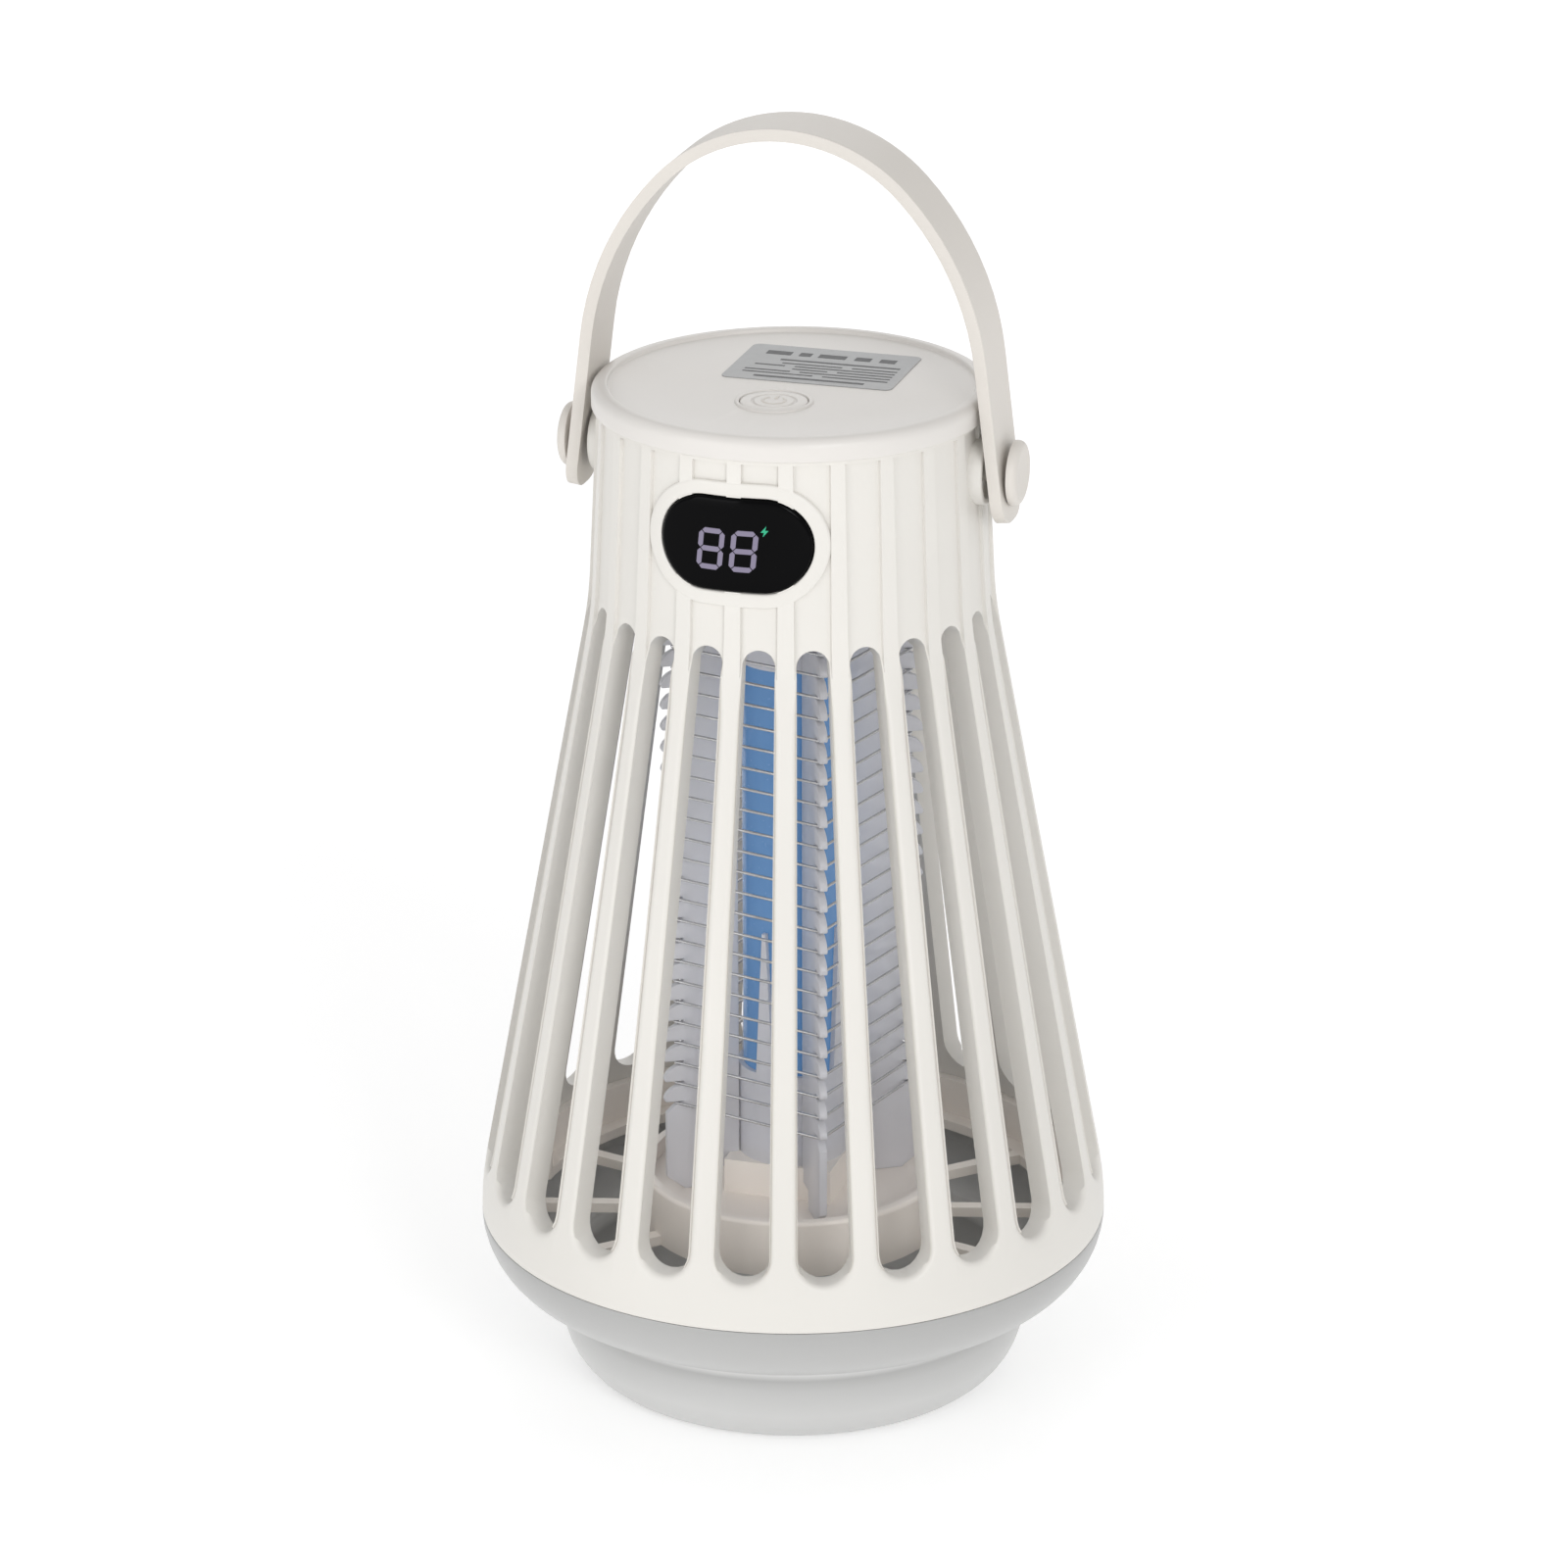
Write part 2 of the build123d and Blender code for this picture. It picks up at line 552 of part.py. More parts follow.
# ---- tray -------------------------------------------------------------------------------------
def tray_outline(inset, floor_z):
    """Half section of the tray's outside, or of its inside when inset by the wall."""
    collar_centre = BAND_RADIUS - COLLAR_ROUND
    collar = COLLAR_ROUND - inset
    bowl = collar_centre - 1.1 - inset
    foot = bowl - BOWL_LEAN + 0.4 * inset
    shoulder_z = SEAM_Z - collar
    diagonal = collar / sqrt(2)
    start = (collar_centre + 0.5, SEAM_Z - sqrt(collar ** 2 - 0.25))
    knuckle = (bowl - 0.35 * BOWL_LEAN, floor_z + 4.2)
    lower = ThreePointArc((foot, floor_z), knuckle, (bowl - 0.5, floor_z + 10.4))
    rise = Polyline(lower @ 1, (bowl, shoulder_z - 0.6), start)
    middle = (collar_centre + diagonal, SEAM_Z - diagonal)
    round_ = ThreePointArc(start, middle, (collar_centre + collar, SEAM_Z))
    return lower, rise, round_


def tray_solid(inset, floor_z, top_z):
    lower, rise, round_ = tray_outline(inset, floor_z)
    edge = round_ @ 1
    close = Polyline(round_ @ 1, (edge.X, top_z), (0, top_z), (0, floor_z), lower @ 0)
    return revolve(Plane.XZ * make_face([lower, rise, round_, close]), Axis.Z)


def bug_tray():
    bowl = tray_solid(0, 0, SEAM_Z + 1) & slab(0, SEAM_Z - SEAM_GAP)
    hollow = tray_solid(TRAY_WALL, TRAY_FLOOR, SEAM_Z + 1)
    tray = bowl - hollow
    spigot = ring(SPIGOT_RADIUS, SPIGOT_RADIUS - TRAY_SPIGOT_WALL, SEAM_Z - 5, SEAM_Z + TRAY_SPIGOT)
    spigot &= tray_solid(0, 0, SEAM_Z + TRAY_SPIGOT)
    seat = ring(BAND_RADIUS - 1, SPIGOT_RADIUS - TRAY_SPIGOT_WALL, SEAM_Z - 2, SEAM_Z - SEAM_GAP)
    return tray + spigot + (seat & bowl)


def tray_seal():
    return ring(SPIGOT_RADIUS + SEAL_WIDTH, SPIGOT_RADIUS, SEAM_Z - SEAM_GAP, SEAM_Z - SEAM_GAP + SEAL_HEIGHT)


# ---- cage floor -------------------------------------------------------------------------------
def skirt_radius():
    """Outside of the floor's skirt, which hangs inside the tray's spigot."""
    return SPIGOT_RADIUS - TRAY_SPIGOT_WALL - 0.6


def floor_rim():
    """Flange under the housing's ledge, with a skirt down to a flat rim that carries the spokes."""
    top, low = FLANGE_TOP, FLOOR_Z
    skirt = skirt_radius()
    rim = ring(SPIGOT_BORE - 0.2, skirt - SKIRT_WALL, top - FLANGE_THICKNESS, top)
    rim += ring(skirt, skirt - SKIRT_WALL, low, top - 0.5)
    rim += ring(skirt - 0.5, skirt - RIM_WIDTH, low, low + FLOOR_THICKNESS)
    for x, y in floor_screw_places():
        rim += disc(SCREW_BOSS_RADIUS, low + FLOOR_THICKNESS / 2, top, x, y) & disc(skirt, low, top)
        rim -= disc(SCREW_RADIUS + 0.15, low - 1, top + 1, x, y)
        rim -= disc(SCREW_HEAD_RADIUS + 0.2, low - 1, top - SCREW_SEAT_DEPTH, x, y)
    return rim


def floor_spokes():
    band = ring(skirt_radius() - RIM_WIDTH, TABLE_RADIUS, FLOOR_Z, FLOOR_Z + FLOOR_THICKNESS)
    spoke = block((FAR, SPOKE_WIDTH, FLOOR_THICKNESS), FLOOR_Z, FAR / 2) & band
    return around(spoke, SPOKE_COUNT, 180 / SPOKE_COUNT)


def grid_table():
    """Raised round table in the middle of the floor, dished inside a low rim, with a square plinth."""
    rim_top = TABLE_Z + TABLE_RIM_HEIGHT
    table = disc(TABLE_RADIUS, FLOOR_Z, rim_top)
    table = fillet(table.edges().sort_by(Axis.Z)[-1], 0.8)
    table -= disc(TABLE_RADIUS - TABLE_RIM_WIDTH, TABLE_Z, rim_top + 1)
    table -= disc(TABLE_RADIUS - TABLE_RIM_WIDTH, FLOOR_Z - 1, TABLE_Z - 2)
    return table + block((PLINTH_SIDE, PLINTH_SIDE, PLINTH_HEIGHT + 0.5), TABLE_Z - 0.5)


def floor_screws():
    return [pan_screw(x, y, FLANGE_TOP - SCREW_SEAT_DEPTH, 7.0) for x, y in floor_screw_places()]


def pan_screw(x, y, seat_z, length):
    """Screw driven upwards, its head below the seat."""
    head = disc(SCREW_HEAD_RADIUS, seat_z - 1.8, seat_z, x, y)
    head -= block((0.7, 3.2, 0.8), seat_z - 2.0, x, y) + block((3.2, 0.7, 0.8), seat_z - 2.0, x, y)
    return head + disc(SCREW_RADIUS, seat_z - 0.5, seat_z + length, x, y)


# ---- lamp -------------------------------------------------------------------------------------
def lower_cup():
    """Cup on the plinth that holds the tube, with four tapering tines up its sides."""
    cup = ring(CUP_RADIUS, TUBE_RADIUS, TUBE_LOW_Z, LOWER_CUP_TOP_Z)
    cup += disc(CUP_RADIUS, PLINTH_TOP_Z, TUBE_LOW_Z)
    wall = ring(CUP_RADIUS, TUBE_RADIUS, PLINTH_TOP_Z, LOWER_CUP_TOP_Z + TINE_HEIGHT)
    half, low, high = TINE_WIDTH / 2, LOWER_CUP_TOP_Z - 1, LOWER_CUP_TOP_Z + TINE_HEIGHT
    tine = facing_front(Polygon((-half, low), (half, low), (0.4, high), (-0.4, high), align=None))
    for part in around(tine, FIN_COUNT, FIN_ANGLE + 45 + 90):
        cup += part & wall
    return cup


def upper_cup():
    cup = disc(CUP_RADIUS, UPPER_CUP_Z, GRID_TOP_Z)
    return cup - disc(TUBE_RADIUS, UPPER_CUP_Z - 1, TUBE_TOP_Z)


def light_tube():
    return ring(TUBE_RADIUS, TUBE_RADIUS - TUBE_WALL, TUBE_LOW_Z, TUBE_TOP_Z)


def led_board():
    return block((LED_BOARD_WIDTH, BOARD_THICKNESS, TUBE_TOP_Z - TUBE_LOW_Z), TUBE_LOW_Z)


def uv_leds():
    """Small square emitters up both faces of the strip board."""
    low, high = LOWER_CUP_TOP_Z + 5, UPPER_CUP_Z - 3
    count = floor((high - low) / LED_PITCH) + 1
    leds = []
    for i in range(count):
        for side in (-1, 1):
            y = side * (BOARD_THICKNESS + LED_SIZE[1]) / 2
            leds.append(block(LED_SIZE, low + i * LED_PITCH, 0, y))
    return leds


# ---- grid -------------------------------------------------------------------------------------
def wire_heights():
    start = TABLE_Z + WIRE_START
    count = floor((GRID_TOP_Z - 1.5 - start) / WIRE_PITCH) + 1
    return [start + i * WIRE_PITCH for i in range(count)]


def comb_fin():
    """One radial plate: a foot on the table, and round-shouldered teeth with a wire notch under each."""
    wires = wire_heights()
    first_notch = wires[0] - NOTCH_HEIGHT / 2
    foot_x, foot_z = FIN_INNER_RADIUS + FIN_FOOT_INSET, PLINTH_TOP_Z + 1
    edge_x = FIN_TIP_RADIUS - 0.4
    outline = Polygon((foot_x, TABLE_Z), (FIN_VALLEY_RADIUS, TABLE_Z), (edge_x, TABLE_Z + 2.8),
                      (edge_x, wires[0] - 2.5), (FIN_TIP_RADIUS - 2.0, first_notch),
                      (FIN_VALLEY_RADIUS, first_notch), (FIN_VALLEY_RADIUS, GRID_TOP_Z),
                      (FIN_INNER_RADIUS, GRID_TOP_Z), (FIN_INNER_RADIUS, foot_z),
                      (foot_x, foot_z), align=None)
    for wire in wires:
        outline += comb_tooth(wire + NOTCH_HEIGHT / 2)
    return extrude(Plane.XZ * outline, FIN_THICKNESS / 2, both=True)


def comb_tooth(low):
    """Flat underneath, with a long round shoulder above."""
    high = min(low + WIRE_PITCH - NOTCH_HEIGHT, GRID_TOP_Z)
    root, tip = FIN_VALLEY_RADIUS - 0.5, FIN_TIP_RADIUS
    shoulder = Spline((tip, low + 0.5), (tip - 1.3, (low + high) / 2 + 0.5), (root + 0.5, high),
                      tangents=((0, 1), (-1, 0.2)))
    lines = Polyline((root + 0.5, high), (root, high), (root, low), (tip - 0.3, low), (tip, low + 0.5))
    return make_face([shoulder, lines])


def comb_fins():
    return around(comb_fin(), FIN_COUNT, FIN_ANGLE)


def wire_loop(z):
    """Square loop of wire, its corners in the notches of the four fins."""
    reach = WIRE_CORNER_RADIUS
    side = reach * sqrt(2)
    loop = Part()
    for i in range(FIN_COUNT):
        straight = Pos(0, -reach / sqrt(2), z) * Rot(0, 90, 0) * Cylinder(WIRE_RADIUS, side)
        loop += Rot(0, 0, 90 * i) * (straight + Pos(side / 2, -side / 2, z) * Sphere(WIRE_RADIUS))
    return Rot(0, 0, FIN_ANGLE + 45) * loop


def grid_wires(first):
    loop = wire_loop(0)
    return [Pos(0, 0, z) * loop for z in wire_heights()[first::2]]


def grid_top_ring():
    return ring(FIN_TIP_RADIUS + TOP_RING_OVERHANG, TOP_RING_BORE, GRID_TOP_Z, BAY_FLOOR_Z)


# ---- electronics ------------------------------------------------------------------------------
def bay_floor():
    plate = disc(BAY_RADIUS - 0.1, BAY_FLOOR_Z, BAY_Z)
    return plate - disc(WIRING_HOLE_RADIUS, BAY_FLOOR_Z - 1, BAY_Z + 1, 0, BATTERY_RADIUS + 7)


def battery_cell():
    room = sqrt(BAY_RADIUS ** 2 - BATTERY_RADIUS ** 2) - CELL_GAP
    half = min(BATTERY_LENGTH / 2, room)
    shoulder = half - CELL_TIP_LENGTH
    cell = rod_x(BATTERY_RADIUS, -half, shoulder, 0, CELL_Z)
    cell = fillet(cell.edges(), 0.6)
    return cell + rod_x(CELL_TIP_RADIUS, shoulder - 1, half, 0, CELL_Z)


def battery_clips():
    """Two spring saddles that hold the cell to the bay's floor."""
    size = (CLIP_LENGTH, 2 * BATTERY_RADIUS + 3, BATTERY_RADIUS + 2)
    bed = rod_x(BATTERY_RADIUS, -BATTERY_LENGTH, BATTERY_LENGTH, 0, CELL_Z)
    return [block(size, BAY_Z, x) - bed for x in (-CLIP_REACH, CLIP_REACH)]


def main_board():
    board = disc(BOARD_RADIUS, BOARD_TOP_Z - BOARD_THICKNESS, BOARD_TOP_Z)
    board -= block((FAR, FAR, 6), BOARD_TOP_Z - 3, 0, -FAR / 2 - BOARD_RADIUS + 5)
    for x, y in post_places():
        board -= disc(SCREW_RADIUS, BOARD_TOP_Z - 3, BOARD_TOP_Z + 1, x, y)
    return board


def board_screws():
    return [pan_screw(x, y, BOARD_TOP_Z - BOARD_THICKNESS, 6.5) for x, y in post_places()]


def hanging_block(size, x, y):
    return block(size, BOARD_TOP_Z - BOARD_THICKNESS - size[2], x, y)


def hv_transformer():
    core = hanging_block((12, 10, 2), 13, 17) + hanging_block((8, 7, 9), 13, 17)
    return core + block((12, 10, 2), BOARD_TOP_Z - BOARD_THICKNESS - 11, 13, 17)


def hv_capacitor():
    body = hanging_block((12, 5, 9), -13, 16)
    return fillet(body.edges().filter_by(Axis.Z), 1.0)


def charge_socket():
    width, depth, height = SOCKET_SIZE
    back = sqrt(BAY_RADIUS ** 2 - (width / 2) ** 2) + 1.5
    socket = block((width, depth, height), socket_z(), 0, back - depth / 2)
    socket = fillet(socket.edges().filter_by(Axis.Y), height / 2 - 0.05)
    bore = (width - 2 * SOCKET_WALL, depth, height - 2 * SOCKET_WALL)
    hollow = block(bore, socket_z() + SOCKET_WALL, 0, back - depth / 2 + 1.0)
    hollow = fillet(hollow.edges().filter_by(Axis.Y), bore[2] / 2 - 0.1)
    tongue = block((width - 3.0, depth - 2.0, 0.7), socket_z() + height / 2 - 0.35, 0, back - depth / 2 - 0.6)
    return socket - hollow + tongue


# ---- the files --------------------------------------------------------------------------------
def pieces():
    shell = housing_shell()
    digits, bolt = inlay(digit_shapes()), inlay([bolt_shape()])
    return {
        "head_shell": head_shell(shell), "cage_bars": cage_bars(shell), "cage_ring": cage_ring(shell),
        "top_lid": top_lid(), "rating_label": rating_label(), "power_button": power_button(),
        "tact_switch": tact_switch(), "switch_plunger": switch_plunger(),
        "display_lens": display_lens(digits + bolt), "display_digits": digits, "charge_icon": bolt,
        "display_board": display_board(),
        "handle_strap": handle_strap(), "handle_pin_left": handle_pin(-1), "handle_pin_right": handle_pin(1),
        "pin_nuts": pin_nuts(),
        "bug_tray": bug_tray(), "tray_seal": tray_seal(),
        "floor_rim": floor_rim(), "floor_spokes": floor_spokes(), "grid_table": grid_table(),
        "floor_screws": floor_screws(),
        "lower_cup": lower_cup(), "upper_cup": upper_cup(), "light_tube": light_tube(),
        "led_board": led_board(), "uv_leds": uv_leds(),
        "comb_fins": comb_fins(), "grid_wires_live": grid_wires(0), "grid_wires_return": grid_wires(1),
        "grid_top_ring": grid_top_ring(),
        "bay_floor": bay_floor(), "battery_cell": battery_cell(), "battery_clips": battery_clips(),
        "main_board": main_board(), "board_screws": board_screws(),
        "hv_transformer": hv_transformer(), "hv_capacitor": hv_capacitor(), "charge_socket": charge_socket(),
    }


def solids_of(piece):
    if isinstance(piece, list):
        return [solid for part in piece for solid in part.solids()]
    return piece.solids()


os.makedirs("parts", exist_ok=True)
for name, piece in pieces().items():
    export_step(Compound(children=solids_of(piece)), f"parts/{name}.step")
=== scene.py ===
# %% [markdown]
# # A rechargeable bug zapper, built around its CAD frame
# The lamp is a white moulded lantern: a round head with a display, a slotted conical cage over a wire grid
# with a violet-blue light tube, a swing handle and a frosted tray that collects the insects.
# The frame holds every real size, so each new piece is placed from it. Sizes below are in millimetres
# and are turned into metres where a mesh is made.

# %% Load the frame
import math

import bpy
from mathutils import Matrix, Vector


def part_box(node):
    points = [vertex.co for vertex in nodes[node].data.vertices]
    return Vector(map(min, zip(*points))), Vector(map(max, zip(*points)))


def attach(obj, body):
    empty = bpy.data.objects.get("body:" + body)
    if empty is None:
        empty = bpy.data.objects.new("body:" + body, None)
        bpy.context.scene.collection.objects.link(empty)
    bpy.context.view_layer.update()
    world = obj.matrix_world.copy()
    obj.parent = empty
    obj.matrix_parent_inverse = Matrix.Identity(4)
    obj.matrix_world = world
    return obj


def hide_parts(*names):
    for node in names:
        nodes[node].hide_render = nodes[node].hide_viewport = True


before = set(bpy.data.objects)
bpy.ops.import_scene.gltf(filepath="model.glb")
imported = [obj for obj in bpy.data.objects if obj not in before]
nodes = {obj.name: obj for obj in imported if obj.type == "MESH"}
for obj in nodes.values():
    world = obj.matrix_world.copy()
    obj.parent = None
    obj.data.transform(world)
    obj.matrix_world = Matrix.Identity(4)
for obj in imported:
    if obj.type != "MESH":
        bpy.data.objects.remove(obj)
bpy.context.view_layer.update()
MM = 0.001

# %% [markdown]
# ## Camera
# The camera has a long lens and stands a little above the lid, so that the body's
# sides converge only slightly. The camera stands 1.2 m away and looks at the middle of the body's axis.
# A long lens keeps the round lid and tray as calm ellipses.

# %% Camera
CAMERA_PLACE = (0.31830, -1.05440, 0.53770)
CAMERA_TURN = (69.3251, 0.1183, 16.8396)
LENS_LENGTH = 138.0

camera_data = bpy.data.cameras.new("product_camera")
camera_data.lens = LENS_LENGTH
camera_data.sensor_width = 36.0
camera_data.clip_start = 0.05
camera = bpy.data.objects.new("product_camera", camera_data)
camera.location = CAMERA_PLACE
camera.rotation_euler = [math.radians(a) for a in CAMERA_TURN]
bpy.context.scene.collection.objects.link(camera)
bpy.context.scene.camera = camera
print("camera at", CAMERA_PLACE)

# %% [markdown]
# ## Studio light
# The room is a white studio: a bright even surround, a large soft box above and to the right of the
# camera, a weaker one on the left, and one behind. Round forms get a soft gradient this way.
# Area lights give soft shadow edges. They could be replaced by a sky image, but lamps keep the
# file free of pictures and are easy to tune one at a time.

# %% Surround and lamps
WORLD_STRENGTH = 0.68
bpy.context.scene.view_settings.view_transform = "Standard"

world = bpy.data.worlds.new("white_studio")
world.use_nodes = True
world.node_tree.nodes["Background"].inputs["Color"].default_value = (1, 1, 1, 1)
world.node_tree.nodes["Background"].inputs["Strength"].default_value = WORLD_STRENGTH
bpy.context.scene.world = world


def soft_box(name, place, size, power, target=(0, 0, 0.12)):
    """A square area light that faces the object."""
    data = bpy.data.lights.new(name, "AREA")
    data.shape = "SQUARE"
    data.size = size
    data.energy = power
    lamp = bpy.data.objects.new(name, data)
    lamp.location = place
    lamp.rotation_euler = (Vector(target) - Vector(place)).to_track_quat("-Z", "Y").to_euler()
    bpy.context.scene.collection.objects.link(lamp)
    return lamp


soft_box("key_box", (1.0, -1.25, 0.75), 0.6, 7.6)
soft_box("fill_box", (-0.75, -1.35, 0.45), 0.9, 4.6)
soft_box("back_box", (-0.3, 1.3, 0.6), 0.8, 2.0)

# %% [markdown]
# ## Floor
# The lamp stands on a plain pale disc. Its edge lies outside the main view, which looks down on it.
# Views from low down show the edge as a line against the surround.

# %% Floor
FLOOR_RADIUS = 6.0


def clear_selection():
    """Nothing selected and nothing active, before an operator is called."""
    if bpy.context.object and bpy.context.object.mode != "OBJECT":
        bpy.ops.object.mode_set(mode="OBJECT")
    bpy.ops.object.select_all(action="DESELECT")


clear_selection()
bpy.ops.mesh.primitive_circle_add(vertices=96, radius=FLOOR_RADIUS, fill_type="NGON")
floor = bpy.context.object
floor.name = "studio_floor"
print("floor radius", FLOOR_RADIUS)

# %% [markdown]
# ## Shared finish groups
# Every moulded part on this lamp has the same two traits. Its surface carries a very fine spark-eroded
# grain from the mould, and its colour drifts a little where the plastic flowed. Both are made once as
# node groups, and each material gives them its own scale and strength. The group puts out a height for
# the Bump node, a roughness that varies with the grain, and a tinted colour.

# %% Node helpers


def socket(tree, direction, kind, name, value=None):
    made = tree.interface.new_socket(name=name, in_out=direction, socket_type=kind)
    if value is not None:
        made.default_value = value
    return made


def add_node(tree, kind, place=(0, 0), **settings):
    node = tree.nodes.new(kind)
    node.location = place
    for key, value in settings.items():
        setattr(node, key, value)
    return node


# %% Moulded grain group
grain = bpy.data.node_groups.new("moulded_grain", "ShaderNodeTree")
socket(grain, "INPUT", "NodeSocketColor", "Colour", (0.8, 0.8, 0.8, 1))
socket(grain, "INPUT", "NodeSocketColor", "Drift Colour", (0.8, 0.8, 0.8, 1))
socket(grain, "INPUT", "NodeSocketFloat", "Grain Scale", 1800.0)
socket(grain, "INPUT", "NodeSocketFloat", "Drift Scale", 14.0)
socket(grain, "INPUT", "NodeSocketFloat", "Roughness", 0.45)
socket(grain, "INPUT", "NodeSocketFloat", "Roughness Swing", 0.12)
socket(grain, "OUTPUT", "NodeSocketColor", "Colour")
socket(grain, "OUTPUT", "NodeSocketFloat", "Roughness")
socket(grain, "OUTPUT", "NodeSocketFloat", "Height")
g_in = add_node(grain, "NodeGroupInput", (-700, 0))
g_out = add_node(grain, "NodeGroupOutput", (500, 0))
g_place = add_node(grain, "ShaderNodeTexCoord", (-900, -300))
g_fine = add_node(grain, "ShaderNodeTexNoise", (-400, -200))
g_fine.inputs["Detail"].default_value = 3.0
g_drift = add_node(grain, "ShaderNodeTexNoise", (-400, 200))
g_drift.inputs["Detail"].default_value = 4.0
g_ramp = add_node(grain, "ShaderNodeMapRange", (-200, 200))
g_ramp.inputs["From Min"].default_value = 0.35
g_ramp.inputs["From Max"].default_value = 0.68
g_mix = add_node(grain, "ShaderNodeMix", (100, 250), data_type="RGBA")
g_half = add_node(grain, "ShaderNodeMath", (-100, -50), operation="SUBTRACT")
g_half.inputs[1].default_value = 0.5
g_swing = add_node(grain, "ShaderNodeMath", (80, -50), operation="MULTIPLY_ADD")
link = grain.links.new
link(g_place.outputs["Object"], g_fine.inputs["Vector"])
link(g_place.outputs["Object"], g_drift.inputs["Vector"])
link(g_in.outputs["Grain Scale"], g_fine.inputs["Scale"])
link(g_in.outputs["Drift Scale"], g_drift.inputs["Scale"])
link(g_drift.outputs["Fac"], g_ramp.inputs["Value"])
link(g_ramp.outputs["Result"], g_mix.inputs["Factor"])
link(g_in.outputs["Colour"], g_mix.inputs["A"])
link(g_in.outputs["Drift Colour"], g_mix.inputs["B"])
link(g_fine.outputs["Fac"], g_half.inputs[0])
link(g_half.outputs[0], g_swing.inputs[0])
link(g_in.outputs["Roughness Swing"], g_swing.inputs[1])
link(g_in.outputs["Roughness"], g_swing.inputs[2])
link(g_mix.outputs["Result"], g_out.inputs["Colour"])
link(g_swing.outputs[0], g_out.inputs["Roughness"])
link(g_fine.outputs["Fac"], g_out.inputs["Height"])
print("group", grain.name, "sockets", len(grain.interface.items_tree))

# %% [markdown]
# ## Painted edge highlight
# Outward corners get a painted highlight: their colour is made a touch lighter than the flat beside them,
# as if light caught them. The Geometry node's Pointiness is high on outward corners, and a noise breaks it
# up, so that the painted highlight is uneven. It is a mask, so it can tint a colour without touching the
# shape.

# %% Painted edge highlight group
edge_highlight_group = bpy.data.node_groups.new("painted_edge_highlight", "ShaderNodeTree")
socket(edge_highlight_group, "INPUT", "NodeSocketColor", "Colour", (0.8, 0.8, 0.8, 1))
socket(edge_highlight_group, "INPUT", "NodeSocketColor", "Highlight Colour", (0.9, 0.9, 0.9, 1))
socket(edge_highlight_group, "INPUT", "NodeSocketFloat", "Breakup Scale", 90.0)
socket(edge_highlight_group, "INPUT", "NodeSocketFloat", "Amount", 0.5)
socket(edge_highlight_group, "OUTPUT", "NodeSocketColor", "Colour")
r_in = add_node(edge_highlight_group, "NodeGroupInput", (-800, 0))
r_out = add_node(edge_highlight_group, "NodeGroupOutput", (600, 0))
r_place = add_node(edge_highlight_group, "ShaderNodeTexCoord", (-900, -250))
r_noise = add_node(edge_highlight_group, "ShaderNodeTexNoise", (-600, -250))
r_geo = add_node(edge_highlight_group, "ShaderNodeNewGeometry", (-600, 250))
r_range = add_node(edge_highlight_group, "ShaderNodeMapRange", (-380, 250))
r_range.inputs["From Min"].default_value = 0.5
r_range.inputs["From Max"].default_value = 0.62
r_mask = add_node(edge_highlight_group, "ShaderNodeMath", (-150, 100), operation="MULTIPLY")
r_amount = add_node(edge_highlight_group, "ShaderNodeMath", (50, 100), operation="MULTIPLY")
r_mix = add_node(edge_highlight_group, "ShaderNodeMix", (300, 100), data_type="RGBA")
link = edge_highlight_group.links.new
link(r_place.outputs["Object"], r_noise.inputs["Vector"])
link(r_in.outputs["Breakup Scale"], r_noise.inputs["Scale"])
link(r_geo.outputs["Pointiness"], r_range.inputs["Value"])
link(r_range.outputs["Result"], r_mask.inputs[0])
link(r_noise.outputs["Fac"], r_mask.inputs[1])
link(r_mask.outputs[0], r_amount.inputs[0])
link(r_in.outputs["Amount"], r_amount.inputs[1])
link(r_amount.outputs[0], r_mix.inputs["Factor"])
link(r_in.outputs["Colour"], r_mix.inputs["A"])
link(r_in.outputs["Highlight Colour"], r_mix.inputs["B"])
link(r_mix.outputs["Result"], r_out.inputs["Colour"])
print("group", edge_highlight_group.name)

# %% [markdown]
# ## Moulded plastic materials
# One function places the two groups in front of a Principled shader that stays in the material. What is
# the same all over the surface, such as coat or transmission, is typed on the shader's own sockets.
# What changes over the surface is linked.

# %% Moulded plastic


def tint(colour, factor):
    return tuple(min(1.0, c * factor) for c in colour[:3]) + (1.0,)


def moulded(name, colour, roughness, drift=0.94, grain_scale=1800.0, bump=0.05, edge=0.5, **shader):
    """A moulded plastic: grain, colour drift and a painted highlight on outward corners into one Principled
    shader.
    """
    made = bpy.data.materials.new(name)
    made.use_nodes = True
    tree = made.node_tree
    body = tree.nodes["Principled BSDF"]
    surface = add_node(tree, "ShaderNodeGroup", (-700, 0), node_tree=grain)
    surface.inputs["Colour"].default_value = tint(colour, 1.0)
    surface.inputs["Drift Colour"].default_value = tint(colour, drift)
    surface.inputs["Grain Scale"].default_value = grain_scale
    surface.inputs["Roughness"].default_value = roughness
    # Painted highlight: outward corners are tinted lighter in the base colour, as if light caught them.
    edge_highlight = add_node(tree, "ShaderNodeGroup", (-450, 100), node_tree=edge_highlight_group)
    edge_highlight.inputs["Highlight Colour"].default_value = tint(colour, 1.12)
    edge_highlight.inputs["Amount"].default_value = edge
    relief = add_node(tree, "ShaderNodeBump", (-250, -250))
    relief.inputs["Strength"].default_value = bump
    relief.inputs["Distance"].default_value = 0.0001
    tree.links.new(surface.outputs["Colour"], edge_highlight.inputs["Colour"])
    tree.links.new(edge_highlight.outputs["Colour"], body.inputs["Base Color"])
    tree.links.new(surface.outputs["Roughness"], body.inputs["Roughness"])
    tree.links.new(surface.outputs["Height"], relief.inputs["Height"])
    tree.links.new(relief.outputs["Normal"], body.inputs["Normal"])
    for key, value in shader.items():
        body.inputs[key.replace("_", " ")].default_value = value
    return made


